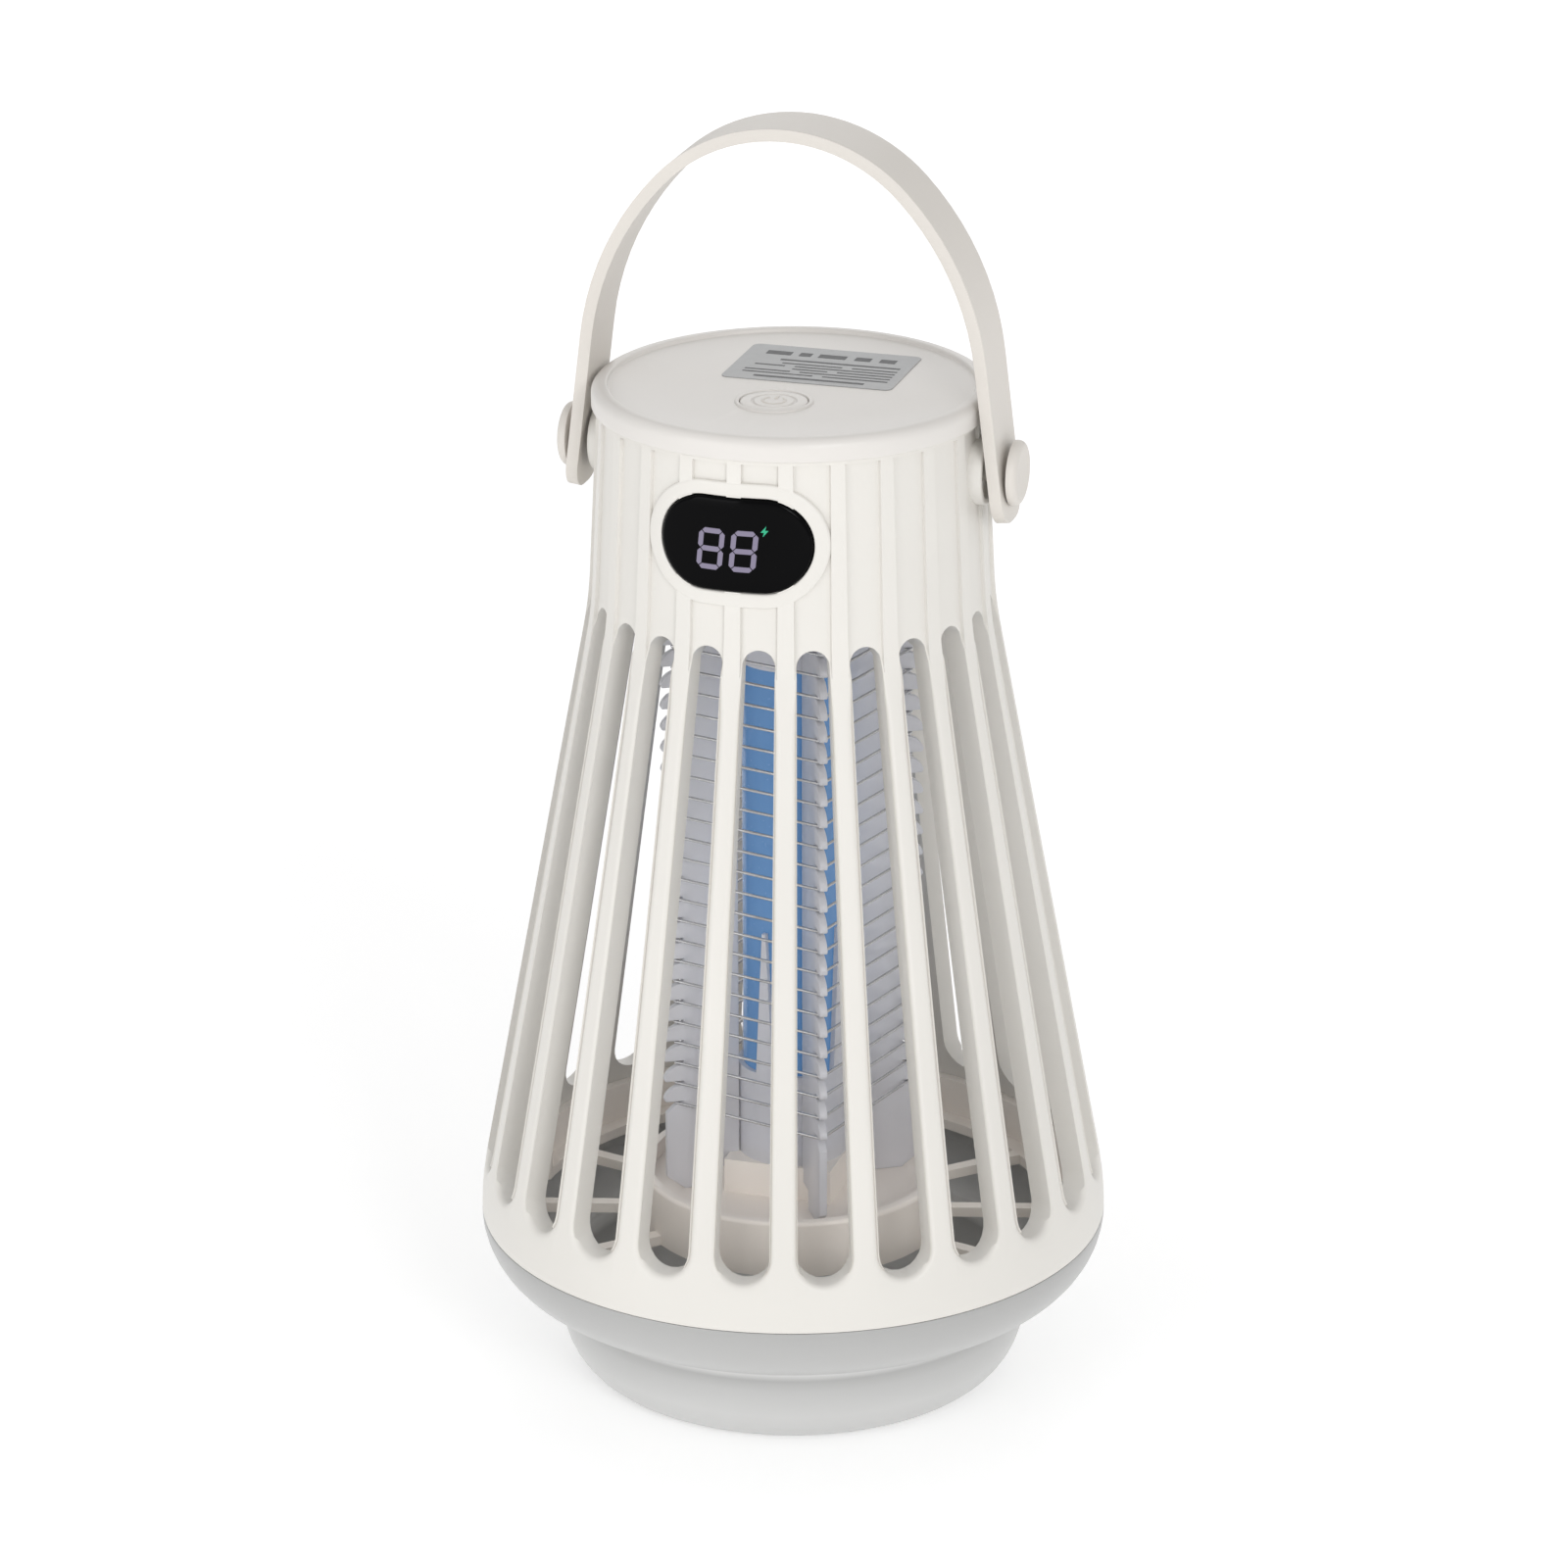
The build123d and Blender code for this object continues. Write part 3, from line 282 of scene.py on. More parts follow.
white_shell = moulded("white_shell", (0.73, 0.71, 0.67), 0.42, 0.955, 1500.0, 0.12, 0.35)
white_lid = moulded("white_lid", (0.71, 0.685, 0.655), 0.40, 0.955, 1300.0, 0.16, 0.35)
white_strap = moulded("white_strap", (0.68, 0.645, 0.60), 0.46, 0.95, 1500.0, 0.15, 0.35)
beige_floor = moulded("beige_floor", (0.93, 0.87, 0.81), 0.44, 0.93, 1200.0, 0.12, 0.5)
grey_fin = moulded("grey_fin", (0.82, 0.82, 0.86), 0.33, 0.92, 1500.0, 0.10, 0.6,
                   Transmission_Weight=0.25)
frosted = moulded("frosted_tray", (0.82, 0.82, 0.81), 0.34, 0.95, 1700.0, 0.20, 0.4,
                  Transmission_Weight=0.20, IOR=1.5)


def paint_light_bands(material, bands, low, high):
    """Paint light and shade into the material's colour in level bands by height; bands are (height, grey)
    pairs in mm.
    """
    tree = material.node_tree
    body = tree.nodes["Principled BSDF"]
    place = add_node(tree, "ShaderNodeTexCoord", (-1100, 500))
    split = add_node(tree, "ShaderNodeSeparateXYZ", (-900, 500))
    height = add_node(tree, "ShaderNodeMapRange", (-700, 500))
    height.inputs["From Min"].default_value, height.inputs["From Max"].default_value = low * MM, high * MM
    ramp = add_node(tree, "ShaderNodeValToRGB", (-500, 500))
    stops = ramp.color_ramp.elements
    while len(stops) < len(bands):
        stops.new(0.5)
    for stop, (z, grey) in zip(stops, bands):
        stop.position, stop.color = (z - low) / (high - low), (grey, grey, grey, 1)
    shade = add_node(tree, "ShaderNodeMix", (-150, 300), data_type="RGBA", blend_type="MULTIPLY")
    shade.inputs["Factor"].default_value = 1.0
    tree.links.new(place.outputs["Object"], split.inputs["Vector"])
    tree.links.new(split.outputs["Z"], height.inputs["Value"])
    tree.links.new(height.outputs["Result"], ramp.inputs["Fac"])
    tree.links.new(body.inputs["Base Color"].links[0].from_socket, shade.inputs["A"])
    tree.links.new(ramp.outputs["Color"], shade.inputs["B"])
    tree.links.new(shade.outputs["Result"], body.inputs["Base Color"])


# Painted light on the frosted wall, laid into its colour by height: a painted highlight near its foot and a
# bright painted band at the step, with painted shade just below the step and deepening under the seam.
TRAY_PAINTED_LIGHT = ((0, 0.80), (7, 0.86), (13, 0.74), (15.4, 0.62), (16.9, 1.0), (18.6, 1.0), (20, 0.78),
              (32.8, 0.62))
TRAY_LOW, TRAY_HIGH = 0, 33
paint_light_bands(frosted, TRAY_PAINTED_LIGHT, TRAY_LOW, TRAY_HIGH)
black_part = moulded("black_part", (0.02, 0.02, 0.022), 0.38, 0.8, 1500.0, 0.10, 0.3)
white_rubber = moulded("white_rubber", (0.70, 0.70, 0.68), 0.75, 0.9, 900.0, 0.25, 0.2)
ferrite_core = moulded("ferrite_core", (0.06, 0.06, 0.06), 0.80, 0.8, 700.0, 0.4, 0.3)
red_dip = moulded("red_dip", (0.42, 0.07, 0.04), 0.22, 0.85, 500.0, 0.08, 0.3, Coat_Weight=0.5)
cell_wrap = moulded("cell_wrap", (0.05, 0.16, 0.42), 0.30, 0.85, 600.0, 0.06, 0.4, Coat_Weight=0.3)
board_green = moulded("board_green", (0.02, 0.16, 0.07), 0.35, 0.7, 900.0, 0.10, 0.4)
led_body = moulded("led_body", (0.80, 0.80, 0.70), 0.30, 0.9, 900.0, 0.05, 0.3)
label_film = moulded("label_film", (0.29, 0.295, 0.30), 0.35, 0.94, 900.0, 0.04, 0.2)
print("moulded materials ready")

# %% [markdown]
# ## Metal, glass and lit parts
# The wires and screws are plated steel, drawn along their length, so their roughness runs in fine
# streaks. The light tube is a violet-blue diffuser that glows weakly. The display is a polished black
# window, and its digits and bolt give off a faint light.

# %% Steel


def plated(name, colour, roughness, stretch):
    made = bpy.data.materials.new(name)
    made.use_nodes = True
    tree = made.node_tree
    body = tree.nodes["Principled BSDF"]
    place = add_node(tree, "ShaderNodeTexCoord", (-900, 0))
    aim = add_node(tree, "ShaderNodeMapping", (-700, 0))
    aim.inputs["Scale"].default_value = stretch
    streak = add_node(tree, "ShaderNodeTexNoise", (-500, 0))
    streak.inputs["Scale"].default_value = 600.0
    span = add_node(tree, "ShaderNodeMapRange", (-300, 0))
    span.inputs["To Min"].default_value = roughness - 0.08
    span.inputs["To Max"].default_value = roughness + 0.12
    shade = add_node(tree, "ShaderNodeMix", (-300, 250), data_type="RGBA")
    shade.inputs["A"].default_value = tint(colour, 0.82)
    shade.inputs["B"].default_value = tint(colour, 1.05)
    tree.links.new(place.outputs["Object"], aim.inputs["Vector"])
    tree.links.new(aim.outputs["Vector"], streak.inputs["Vector"])
    tree.links.new(streak.outputs["Fac"], span.inputs["Value"])
    tree.links.new(streak.outputs["Fac"], shade.inputs["Factor"])
    tree.links.new(shade.outputs["Result"], body.inputs["Base Color"])
    tree.links.new(span.outputs["Result"], body.inputs["Roughness"])
    body.inputs["Metallic"].default_value = 1.0
    return made


wire_steel = plated("wire_steel", (0.62, 0.62, 0.63), 0.24, (0.2, 0.2, 3.0))
screw_steel = plated("screw_steel", (0.55, 0.55, 0.56), 0.30, (1.0, 1.0, 4.0))
print("steel ready")

# %% Light tube, display and lit symbols


def glowing(name, colour, roughness, light, strength):
    made = moulded(name, colour, roughness, 0.9, 900.0, 0.03, 0.2)
    body = made.node_tree.nodes["Principled BSDF"]
    body.inputs["Emission Color"].default_value = light + (1.0,)
    body.inputs["Emission Strength"].default_value = strength
    return made


tube_blue = glowing("tube_blue", (0.10, 0.22, 0.42), 0.25, (0.08, 0.20, 0.42), 0.30)
digit_lilac = glowing("digit_lilac", (0.16, 0.14, 0.20), 0.45, (0.42, 0.37, 0.56), 0.13)
bolt_green = glowing("bolt_green", (0.01, 0.25, 0.13), 0.45, (0.02, 0.60, 0.32), 0.30)
lens_black = moulded("lens_black", (0.0012, 0.0012, 0.0015), 0.09, 0.9, 400.0, 0.01, 0.0,
                     Specular_IOR_Level=0.06)
# The floor gives off a little light, which keeps it white beside the lamp.
FLOOR_GLOW = 0.30
floor_pale = moulded("floor_pale", (0.90, 0.90, 0.90), 0.85, 0.99, 200.0, 0.02, 0.0)
floor_shader = floor_pale.node_tree.nodes["Principled BSDF"]
floor_shader.inputs["Emission Color"].default_value = (1, 1, 1, 1)
floor_shader.inputs["Emission Strength"].default_value = FLOOR_GLOW
floor.data.materials.append(floor_pale)
print("lit materials ready")

# %% [markdown]
# ## Finishes for the parts that keep their CAD shape
# Parts whose CAD shape is already right only need a finish, so each one's slots are filled here.

# %% Assign finishes to CAD parts
CAD_FINISH = {
    "head_shell": white_shell, "cage_bars": white_shell, "cage_ring": white_shell, "top_lid": white_lid,
    "power_button": white_lid, "bay_floor": white_shell, "handle_strap": white_strap,
    "handle_pin_left": white_strap, "handle_pin_right": white_strap, "rating_label": label_film,
    "display_lens": lens_black, "display_digits": digit_lilac, "charge_icon": bolt_green,
    "bug_tray": frosted, "tray_seal": white_rubber, "floor_rim": beige_floor,
    "floor_spokes": beige_floor, "grid_table": beige_floor, "lower_cup": grey_fin,
    "upper_cup": grey_fin, "comb_fins": grey_fin, "grid_top_ring": grey_fin, "light_tube": tube_blue,
    "uv_leds": led_body, "grid_wires_live": wire_steel, "grid_wires_return": wire_steel,
    "floor_screws": screw_steel, "board_screws": screw_steel, "pin_nuts": screw_steel,
    "charge_socket": screw_steel, "led_board": board_green, "main_board": board_green,
    "display_board": board_green, "battery_cell": cell_wrap, "battery_clips": black_part,
    "tact_switch": black_part, "switch_plunger": black_part, "hv_transformer": ferrite_core,
    "hv_capacitor": red_dip,
}


def finish_node(name, material):
    node = nodes[name]
    if not node.material_slots:
        node.data.materials.append(material)
    for place in node.material_slots:
        place.material = material


for part_name, part_finish in CAD_FINISH.items():
    finish_node(part_name, part_finish)
print("finished CAD parts:", len(CAD_FINISH), "missing:", sorted(set(nodes) - set(CAD_FINISH)))

# %% [markdown]
# ## Measures of the housing
# The housing is a body of revolution: an upright band, a long cone and a nearly upright head, with two
# long fillets between them. Its corner heights are read from the frame's boxes, and one function gives
# the outside radius at any height. Every piece that lies on the housing uses it.

# %% Housing measures
SEAM_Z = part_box("cage_ring")[0].z / MM
LID_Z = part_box("head_shell")[1].z / MM
BARS_LOW_Z, BARS_HIGH_Z = (corner.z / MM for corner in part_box("cage_bars"))
BAND_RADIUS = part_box("cage_ring")[1].x / MM
BAND_TOP_Z, KNEE_Z = SEAM_Z + 6.3, BARS_HIGH_Z + 1.0
BAND_TOP_RADIUS, KNEE_RADIUS, HEAD_TOP_RADIUS = BAND_RADIUS - 0.2, 39.35, 37.4
BAND_BLEND, KNEE_BLEND = 4.63, 5.78
BAR_COUNT = 24
SECTOR = math.radians(360 / BAR_COUNT)


def blend_lines(z, corner_z, corner_r, slope_low, slope_high, reach):
    """Two straight profile lines with a parabola between them, which passes for a long fillet."""
    if z < corner_z - reach:
        return corner_r + slope_low * (z - corner_z)
    if z > corner_z + reach:
        return corner_r + slope_high * (z - corner_z)
    low = corner_r + slope_low * (z - corner_z)
    return low + (slope_high - slope_low) * (z - corner_z + reach) ** 2 / (4 * reach)


def outside(z):
    """Radius of the housing's outside at a height."""
    band = (BAND_TOP_RADIUS - BAND_RADIUS) / (BAND_TOP_Z - SEAM_Z)
    cone = (KNEE_RADIUS - BAND_TOP_RADIUS) / (KNEE_Z - BAND_TOP_Z)
    head = (HEAD_TOP_RADIUS - KNEE_RADIUS) / (LID_Z - KNEE_Z)
    if z < (BAND_TOP_Z + KNEE_Z) / 2:
        return blend_lines(z, BAND_TOP_Z, BAND_TOP_RADIUS, band, cone, BAND_BLEND)
    return blend_lines(z, KNEE_Z, KNEE_RADIUS, cone, head, KNEE_BLEND)


print("outside radius:", [round(outside(z), 2) for z in (SEAM_Z, BAND_TOP_Z, 100, KNEE_Z, LID_Z)])

# %% [markdown]
# ## Tools for modelling
# A grid primitive is a good start for anything made of orderly strips. It is added, faces are deleted or
# extruded while it is still flat, and then its points are carried to their places by a function of
# column, row and layer. Turned parts start as one point, which is extruded along a half section and
# spun. These helpers hold the steps that every piece shares.

# %% Modelling helpers


def edit(select="NONE", kinds=("VERT",)):
    bpy.ops.object.mode_set(mode="EDIT")
    bpy.context.tool_settings.mesh_select_mode = ["VERT" in kinds, "EDGE" in kinds, "FACE" in kinds]
    bpy.ops.mesh.select_all(action="SELECT" if select == "ALL" else "DESELECT")


def leave_edit():
    bpy.ops.object.mode_set(mode="OBJECT")


def activate(piece):
    clear_selection()
    piece.select_set(True)
    bpy.context.view_layer.objects.active = piece


def select_faces(piece, wanted):
    """Select in object mode the faces for which wanted(face) is true."""
    for part in (piece.data.vertices, piece.data.edges, piece.data.polygons):
        part.foreach_set("select", [False] * len(part))
    for face in piece.data.polygons:
        face.select = wanted(face)


def tidy_normals(piece, merge=0.00001):
    activate(piece)
    edit("ALL")
    bpy.ops.mesh.remove_doubles(threshold=merge)
    bpy.ops.mesh.normals_make_consistent(inside=False)
    leave_edit()


def smooth(piece, degrees=35):
    activate(piece)
    bpy.ops.object.shade_smooth_by_angle(angle=math.radians(degrees))


def settle(piece, kind, **settings):
    """Add one modifier and apply it at once."""
    activate(piece)
    modifier = piece.modifiers.new(kind.lower(), kind)
    for key, value in settings.items():
        setattr(modifier, key, value)
    bpy.ops.object.modifier_apply(modifier=modifier.name)


def soften(piece, width, segments=3, degrees=35):
    """Round every sharp edge a little, as a mould does."""
    settle(piece, "BEVEL", width=width * MM, segments=segments, limit_method="ANGLE",
           angle_limit=math.radians(degrees), use_clamp_overlap=True)
    smooth(piece, degrees)


def finished(piece, material, body, stands_for=()):
    """Finish and body for a new piece; the CAD parts it stands for are hidden, and a line prints its face
    count.
    """
    piece.data.materials.clear()
    piece.data.materials.append(material)
    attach(piece, body)
    if stands_for:
        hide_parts(*stands_for)
    print(piece.name, "faces", len(piece.data.polygons))


def flat_grid(name, columns, rows):
    """A grid primitive whose points are whole numbers: x is the column, y is the row."""
    clear_selection()
    bpy.ops.mesh.primitive_grid_add(x_subdivisions=columns, y_subdivisions=rows, size=2)
    piece = bpy.context.object
    piece.name = piece.data.name = name
    for point in piece.data.vertices:
        point.co = (round((point.co.x + 1) / 2 * columns), round((point.co.y + 1) / 2 * rows), 0)
    return piece


def thicken_flat(piece):
    """Extrude the whole sheet one unit down, so that z tells the layer."""
    activate(piece)
    edit("ALL", ("FACE",))
    bpy.ops.mesh.extrude_region_move(TRANSFORM_OT_translate={"value": (0, 0, -1)})
    leave_edit()


def carry(piece, place):
    """Move each point from (column, row, layer) to its place in millimetres."""
    for point in piece.data.vertices:
        column, row, layer = (round(v) for v in point.co)
        point.co = Vector(place(column, row, -layer)) * MM


def lathe(name, half_section, steps=96, axis="Z", centre=(0, 0, 0)):
    """Extrude one point along a (radius, along) half section in mm, then spin it round the axis."""
    turned_z = axis == "Z"
    spots = [Vector((r, 0, a) if turned_z else (a, 0, r)) + Vector(centre) for r, a in half_section]
    clear_selection()
    bpy.ops.mesh.primitive_plane_add(size=0.001)
    piece = bpy.context.object
    piece.name = piece.data.name = name
    edit("ALL")
    bpy.ops.mesh.merge(type="CENTER")
    bpy.ops.transform.translate(value=spots[0] * MM)
    for start, end in zip(spots, spots[1:]):
        bpy.ops.mesh.extrude_region_move(TRANSFORM_OT_translate={"value": (end - start) * MM})
    bpy.ops.mesh.select_all(action="SELECT")
    bpy.ops.mesh.spin(steps=steps, angle=2 * math.pi, center=Vector(centre) * MM,
                      axis=(0, 0, 1) if turned_z else (1, 0, 0))
    leave_edit()
    tidy_normals(piece)
    return piece


def arc(centre, radius, start, end, steps):
    """Points of a (radius, along) arc, angles in degrees."""
    turns = [math.radians(start + (end - start) * k / steps) for k in range(steps + 1)]
    return [(centre[0] + radius * math.cos(t), centre[1] + radius * math.sin(t)) for t in turns]


print("helpers ready")

# %% [markdown]
# ## Housing: one fifteen-degree sector
# The real housing is one white moulding with 24 slots, a raised rib over each bar and a sunk panel over
# each slot. It could be cut from a turned shell with booleans, but their edges can't be rounded cleanly.
# So one sector is drawn as an orderly sheet centred on a slot. Columns and rows ring the slot like the
# lanes of a running track, which gives the slot's rim a true fillet, and the rows above it carry the
# panel. The sheet is extruded for its wall, carried onto the turned shape, and copied round by spin.

# %% Sector lanes
SLOT_FOOT, SLOT_HEAD = 5.25, 3.1
PANEL_FLOOR_X, PANEL_EDGE_X, PANEL_DEPTH = 3.40, 3.54, 0.7
PANEL_FOOT_Z, PANEL_TOP_Z = (157.5, 160.5), 199.0
SEAM_LIP = {0: 0.3, 1: 0.12, 2: 0.02}
HALF, CORE, LANES, TURN_ROWS = 9, 3, 3, 3
LANE_OFFSET = (0.0, 0.13, 0.45, 1.0)
LANE_DEPTH = (1.0, 0.507, 0.165, 0.0)
FOOT_LEVELS = (33.0, 33.1, 33.4, 34.8, 36.5, 38.2, 39.5, 39.62)
SLOT_LEVELS = (47.65, 52, 60, 70, 80, 90, 100, 110, 120, 130, 139, 146, 151, 155, 158, 159.2, 160)
HEAD_LEVELS = (164.3, 166, 169, 174, 182, 190, 196, 198.2, 198.95, 199.1, 199.6, 200.0)
CORE_ROWS = len(SLOT_LEVELS) - 1 + 2 * TURN_ROWS
FIRST_CORE_ROW = len(FOOT_LEVELS) + LANES
ROWS = FIRST_CORE_ROW + CORE_ROWS + LANES + len(HEAD_LEVELS)


def ease(value, low, high):
    t = min(1.0, max(0.0, (value - low) / (high - low)))
    return t * t * (3 - 2 * t)


def slot_half_width(z):
    lean = (z - BARS_LOW_Z) / (BARS_HIGH_Z - BARS_LOW_Z)
    return SLOT_FOOT + (SLOT_HEAD - SLOT_FOOT) * min(1.0, max(0.0, lean))


def rim_round(z):
    """Size of the slot's rim fillet: bold on the bars, nearly crisp where the panel meets the slot."""
    return 1.15 - 0.93 * ease(z, 148, 159.5)


def lane_point(lane, z, turn):
    """A point of one lane: straight beside the slot, or turned round its foot (-) or head (+)."""
    if turn == 0:
        return slot_half_width(z) + rim_round(z) * LANE_OFFSET[lane], z
    high = turn > 0
    radius = (SLOT_HEAD if high else SLOT_FOOT) + rim_round(z) * LANE_OFFSET[lane]
    rise = radius * math.sin(math.radians(turn))
    return radius * math.cos(math.radians(turn)), (BARS_HIGH_Z if high else BARS_LOW_Z) + rise


def lane_side(lane, core_row):
    """Where a lane runs beside the slot, at a row counted from the slot's lowest row."""
    top_row = CORE_ROWS - TURN_ROWS
    if core_row > top_row:
        return lane_point(lane, BARS_HIGH_Z, 45 * (core_row - top_row) / (TURN_ROWS + lane))
    if core_row < TURN_ROWS:
        return lane_point(lane, BARS_LOW_Z, -45 * (TURN_ROWS - core_row) / (TURN_ROWS + lane))
    return lane_point(lane, SLOT_LEVELS[core_row - TURN_ROWS], 0)


print("rows", ROWS, "columns", 2 * HALF)

# %% Sector places


def wall_inside(z):
    """Radius of the housing's inside: tray socket, ledge, cage, and the bay in the head."""
    if z < 39.55:
        return 59.3
    if z < BARS_HIGH_Z + 0.5:
        return outside(z) - 4.6
    return 33.2 if z < 162.9 else 34.9


def outer_columns(x, z, column, radius):
    """The three columns between the lanes and the middle of the bar or rib."""
    middle = radius * math.sin(SECTOR / 2)
    head = ease(z, 149, 159.5)
    spread = (column - HALF + 3) / 3
    plain = x + (middle - x) * spread
    if column == HALF:
        return middle
    panel = PANEL_FLOOR_X + 0.02 if column == HALF - 2 else PANEL_EDGE_X
    return plain + (max(panel, x + 0.02 * (column - HALF + 3)) - plain) * head


def sector_xz(column, row, radius_of):
    """Place across and up for a column counted from the slot's middle, and how deep the rim dips."""
    core_row = row - FIRST_CORE_ROW
    beyond = max(0, -core_row, core_row - CORE_ROWS)
    if beyond > LANES:
        levels_row = row if core_row < 0 else row - FIRST_CORE_ROW - CORE_ROWS - LANES - 1
        z = (FOOT_LEVELS if core_row < 0 else HEAD_LEVELS)[levels_row]
        middle = radius_of(z) * math.sin(SECTOR / 2)
        if core_row < 0:
            return middle * column / HALF, z, 0.0
        x = PANEL_FLOOR_X * column / (HALF - 2)
        return (x if column < HALF - 1 else PANEL_EDGE_X if column < HALF else middle), z, 0.0
    lane = max(beyond, column - CORE, 0)
    if column > CORE + LANES:
        x, z = lane_side(LANES, min(max(core_row, -LANES), CORE_ROWS + LANES))
        return outer_columns(x, z, column, radius_of(z)), z, 0.0
    if beyond == lane and column <= CORE + lane:
        turn = 90 - 45 * column / (CORE + lane)
        if beyond == 0 and 0 < core_row < CORE_ROWS:
            x, z = lane_side(0, core_row)
            return x * column / CORE, z, 0.0
        edge_z = BARS_LOW_Z if core_row <= 0 else BARS_HIGH_Z
        x, z = lane_point(lane, edge_z, -turn if core_row <= 0 else turn)
    else:
        x, z = lane_side(lane, core_row)
    return x, z, LANE_DEPTH[lane]


def panel_dip(column, z):
    if column > HALF - 2 or z > PANEL_TOP_Z:
        return 0.0
    return PANEL_DEPTH * ease(z, *PANEL_FOOT_Z)


def sector_place(column, row, layer):
    column -= HALF
    reach = abs(column)
    if layer:
        x, z, rim = sector_xz(reach, row, wall_inside)
        radius = wall_inside(z)
    else:
        x, z, rim = sector_xz(reach, row, outside)
        lip = SEAM_LIP.get(row, 0.0)
        edge_z = min(max(z, BARS_LOW_Z), BARS_HIGH_Z)
        radius = outside(z) - rim * rim_round(edge_z) - panel_dip(reach, z) - lip
    x = math.copysign(x, column) if column else 0.0
    return x, -math.sqrt(radius ** 2 - x ** 2), z


def in_slot(face):
    centre = face.center
    row = centre.y - FIRST_CORE_ROW
    return abs(centre.x - HALF) < CORE and 0 < row < CORE_ROWS


housing = flat_grid("white_housing", 2 * HALF, ROWS)
select_faces(housing, in_slot)
bpy.ops.object.mode_set(mode="EDIT")
bpy.ops.mesh.delete(type="FACE")
leave_edit()
thicken_flat(housing)
select_faces(housing, lambda face: abs(face.center.x - HALF) > HALF - 0.01)
bpy.ops.object.mode_set(mode="EDIT")
bpy.ops.mesh.delete(type="ONLY_FACE")
leave_edit()
carry(housing, sector_place)
print("sector faces", len(housing.data.polygons))

# %% Twenty-four sectors
edit("ALL")
bpy.ops.transform.rotate(value=SECTOR / 2, orient_axis="Z", center_override=(0, 0, 0))
bpy.ops.mesh.spin(steps=BAR_COUNT, dupli=True, angle=2 * math.pi, center=(0, 0, 0), axis=(0, 0, 1))
leave_edit()
tidy_normals(housing, 0.00002)
smooth(housing, 40)
print("housing faces", len(housing.data.polygons))

# %% [markdown]
# ## Window and charging port in the housing
# The display's window and the charging port are real openings. Each is cut by a boolean with a cutter
# that is shaped from a circle primitive, because both have half-round ends and pass straight through
# one wall.

# %% Cut the openings
WINDOW_WIDTH, WINDOW_HEIGHT = 29.5, 18.0
DISPLAY_Z = LID_Z - 16.5
PORT_WIDTH, PORT_HEIGHT = 9.5, 3.7
CUTTER_POINTS, END_SHARE = 64, 0.75


def stadium(turn, width, height):
    """A point of a stadium outline: turn 0 to 1 runs over the right end, top, left end and bottom."""
    radius, reach = height / 2, width / 2 - height / 2
    half, step = divmod(turn * 2, 1)
    side = 1 if half == 0 else -1
    if step < END_SHARE:
        angle = math.radians(-90 + 180 * step / END_SHARE)
        return side * (radius * math.cos(angle) + reach), side * radius * math.sin(angle)
    return side * reach * (1 - 2 * (step - END_SHARE) / (1 - END_SHARE)), side * radius


def stadium_cutter(name, width, height, centre_z, y_from, y_to):
    clear_selection()
    bpy.ops.mesh.primitive_circle_add(vertices=CUTTER_POINTS, radius=1, fill_type="NGON")
    cutter = bpy.context.object
    cutter.name = name
    for index, point in enumerate(cutter.data.vertices):
        x, z = stadium(index / CUTTER_POINTS, width, height)
        point.co = Vector((x, y_from, centre_z + z)) * MM
    edit("ALL", ("FACE",))
    bpy.ops.mesh.extrude_region_move(TRANSFORM_OT_translate={"value": (0, (y_to - y_from) * MM, 0)})
    bpy.ops.mesh.select_all(action="SELECT")
    bpy.ops.mesh.normals_make_consistent(inside=False)
    leave_edit()
    return cutter


port_z = sum(corner.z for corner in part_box("charge_socket")) / 2 / MM
for cutter in (stadium_cutter("window_cut", WINDOW_WIDTH + 0.3, WINDOW_HEIGHT + 0.3, DISPLAY_Z, -50, -20),
               stadium_cutter("port_cut", PORT_WIDTH, PORT_HEIGHT, port_z, 20, 50)):
    settle(housing, "BOOLEAN", object=cutter, operation="DIFFERENCE", solver="EXACT")
    bpy.data.objects.remove(cutter)
smooth(housing, 40)
finished(housing, white_shell, "housing", ("head_shell", "cage_bars", "cage_ring"))

# %% [markdown]
# ## Display surround and lens
# Around the window the head has a smooth raised ring, flush with the ribs, that interrupts the panels.
# The lens is a polished black plate that follows the head's curve and stands a little proud. Both are
# grids whose columns run round the stadium and whose rows step across it, wrapped onto the head.

# %% Surround and lens
AROUND = 96


def on_head(x, z, height):
    """A point at a height above the head's surface, seen from the front."""
    radius = outside(DISPLAY_Z + z) + height
    return x, -math.sqrt(radius ** 2 - x ** 2), DISPLAY_Z + z


def head_ring(name, profile):
    """profile: (offset from the window's outline, height above the head) from inside to outside."""
    piece = flat_grid(name, AROUND, len(profile) - 1)

    def place(column, row, layer):
        offset, height = profile[row]
        x, z = stadium(column % AROUND / AROUND, WINDOW_WIDTH + 2 * offset,
                       WINDOW_HEIGHT + 2 * offset)
        return on_head(x, z, height)

    carry(piece, place)
    tidy_normals(piece, 0.000005)
    return piece


surround = head_ring("display_surround", [
    (0.2, -2.2), (0.2, -0.35), (0.25, -0.12), (0.4, 0.02), (0.65, 0.08), (1.6, 0.08), (2.5, 0.08),
    (2.75, 0.05), (2.95, -0.06), (3.0, -0.25), (3.0, -0.95), (1.6, -2.2), (0.2, -2.2)])
smooth(surround, 50)
finished(surround, white_shell, "housing", ())

lens = head_ring("window_lens", [
    (-8.99, 0.35), (-8, 0.35), (-6, 0.35), (-4, 0.35), (-2, 0.35), (-0.7, 0.35), (-0.35, 0.31),
    (-0.12, 0.18), (0, -0.1), (0, -1.5), (-0.7, -1.55), (-4, -1.55), (-8.99, -1.55)])
smooth(lens, 40)
finished(lens, lens_black, "housing", ("display_lens",))

# %% [markdown]
# ## Handle bosses
# A round boss on each side of the head keeps the strap clear of the ribs, with a dark recess round the
# pin. It is a turned part whose axis runs along X.

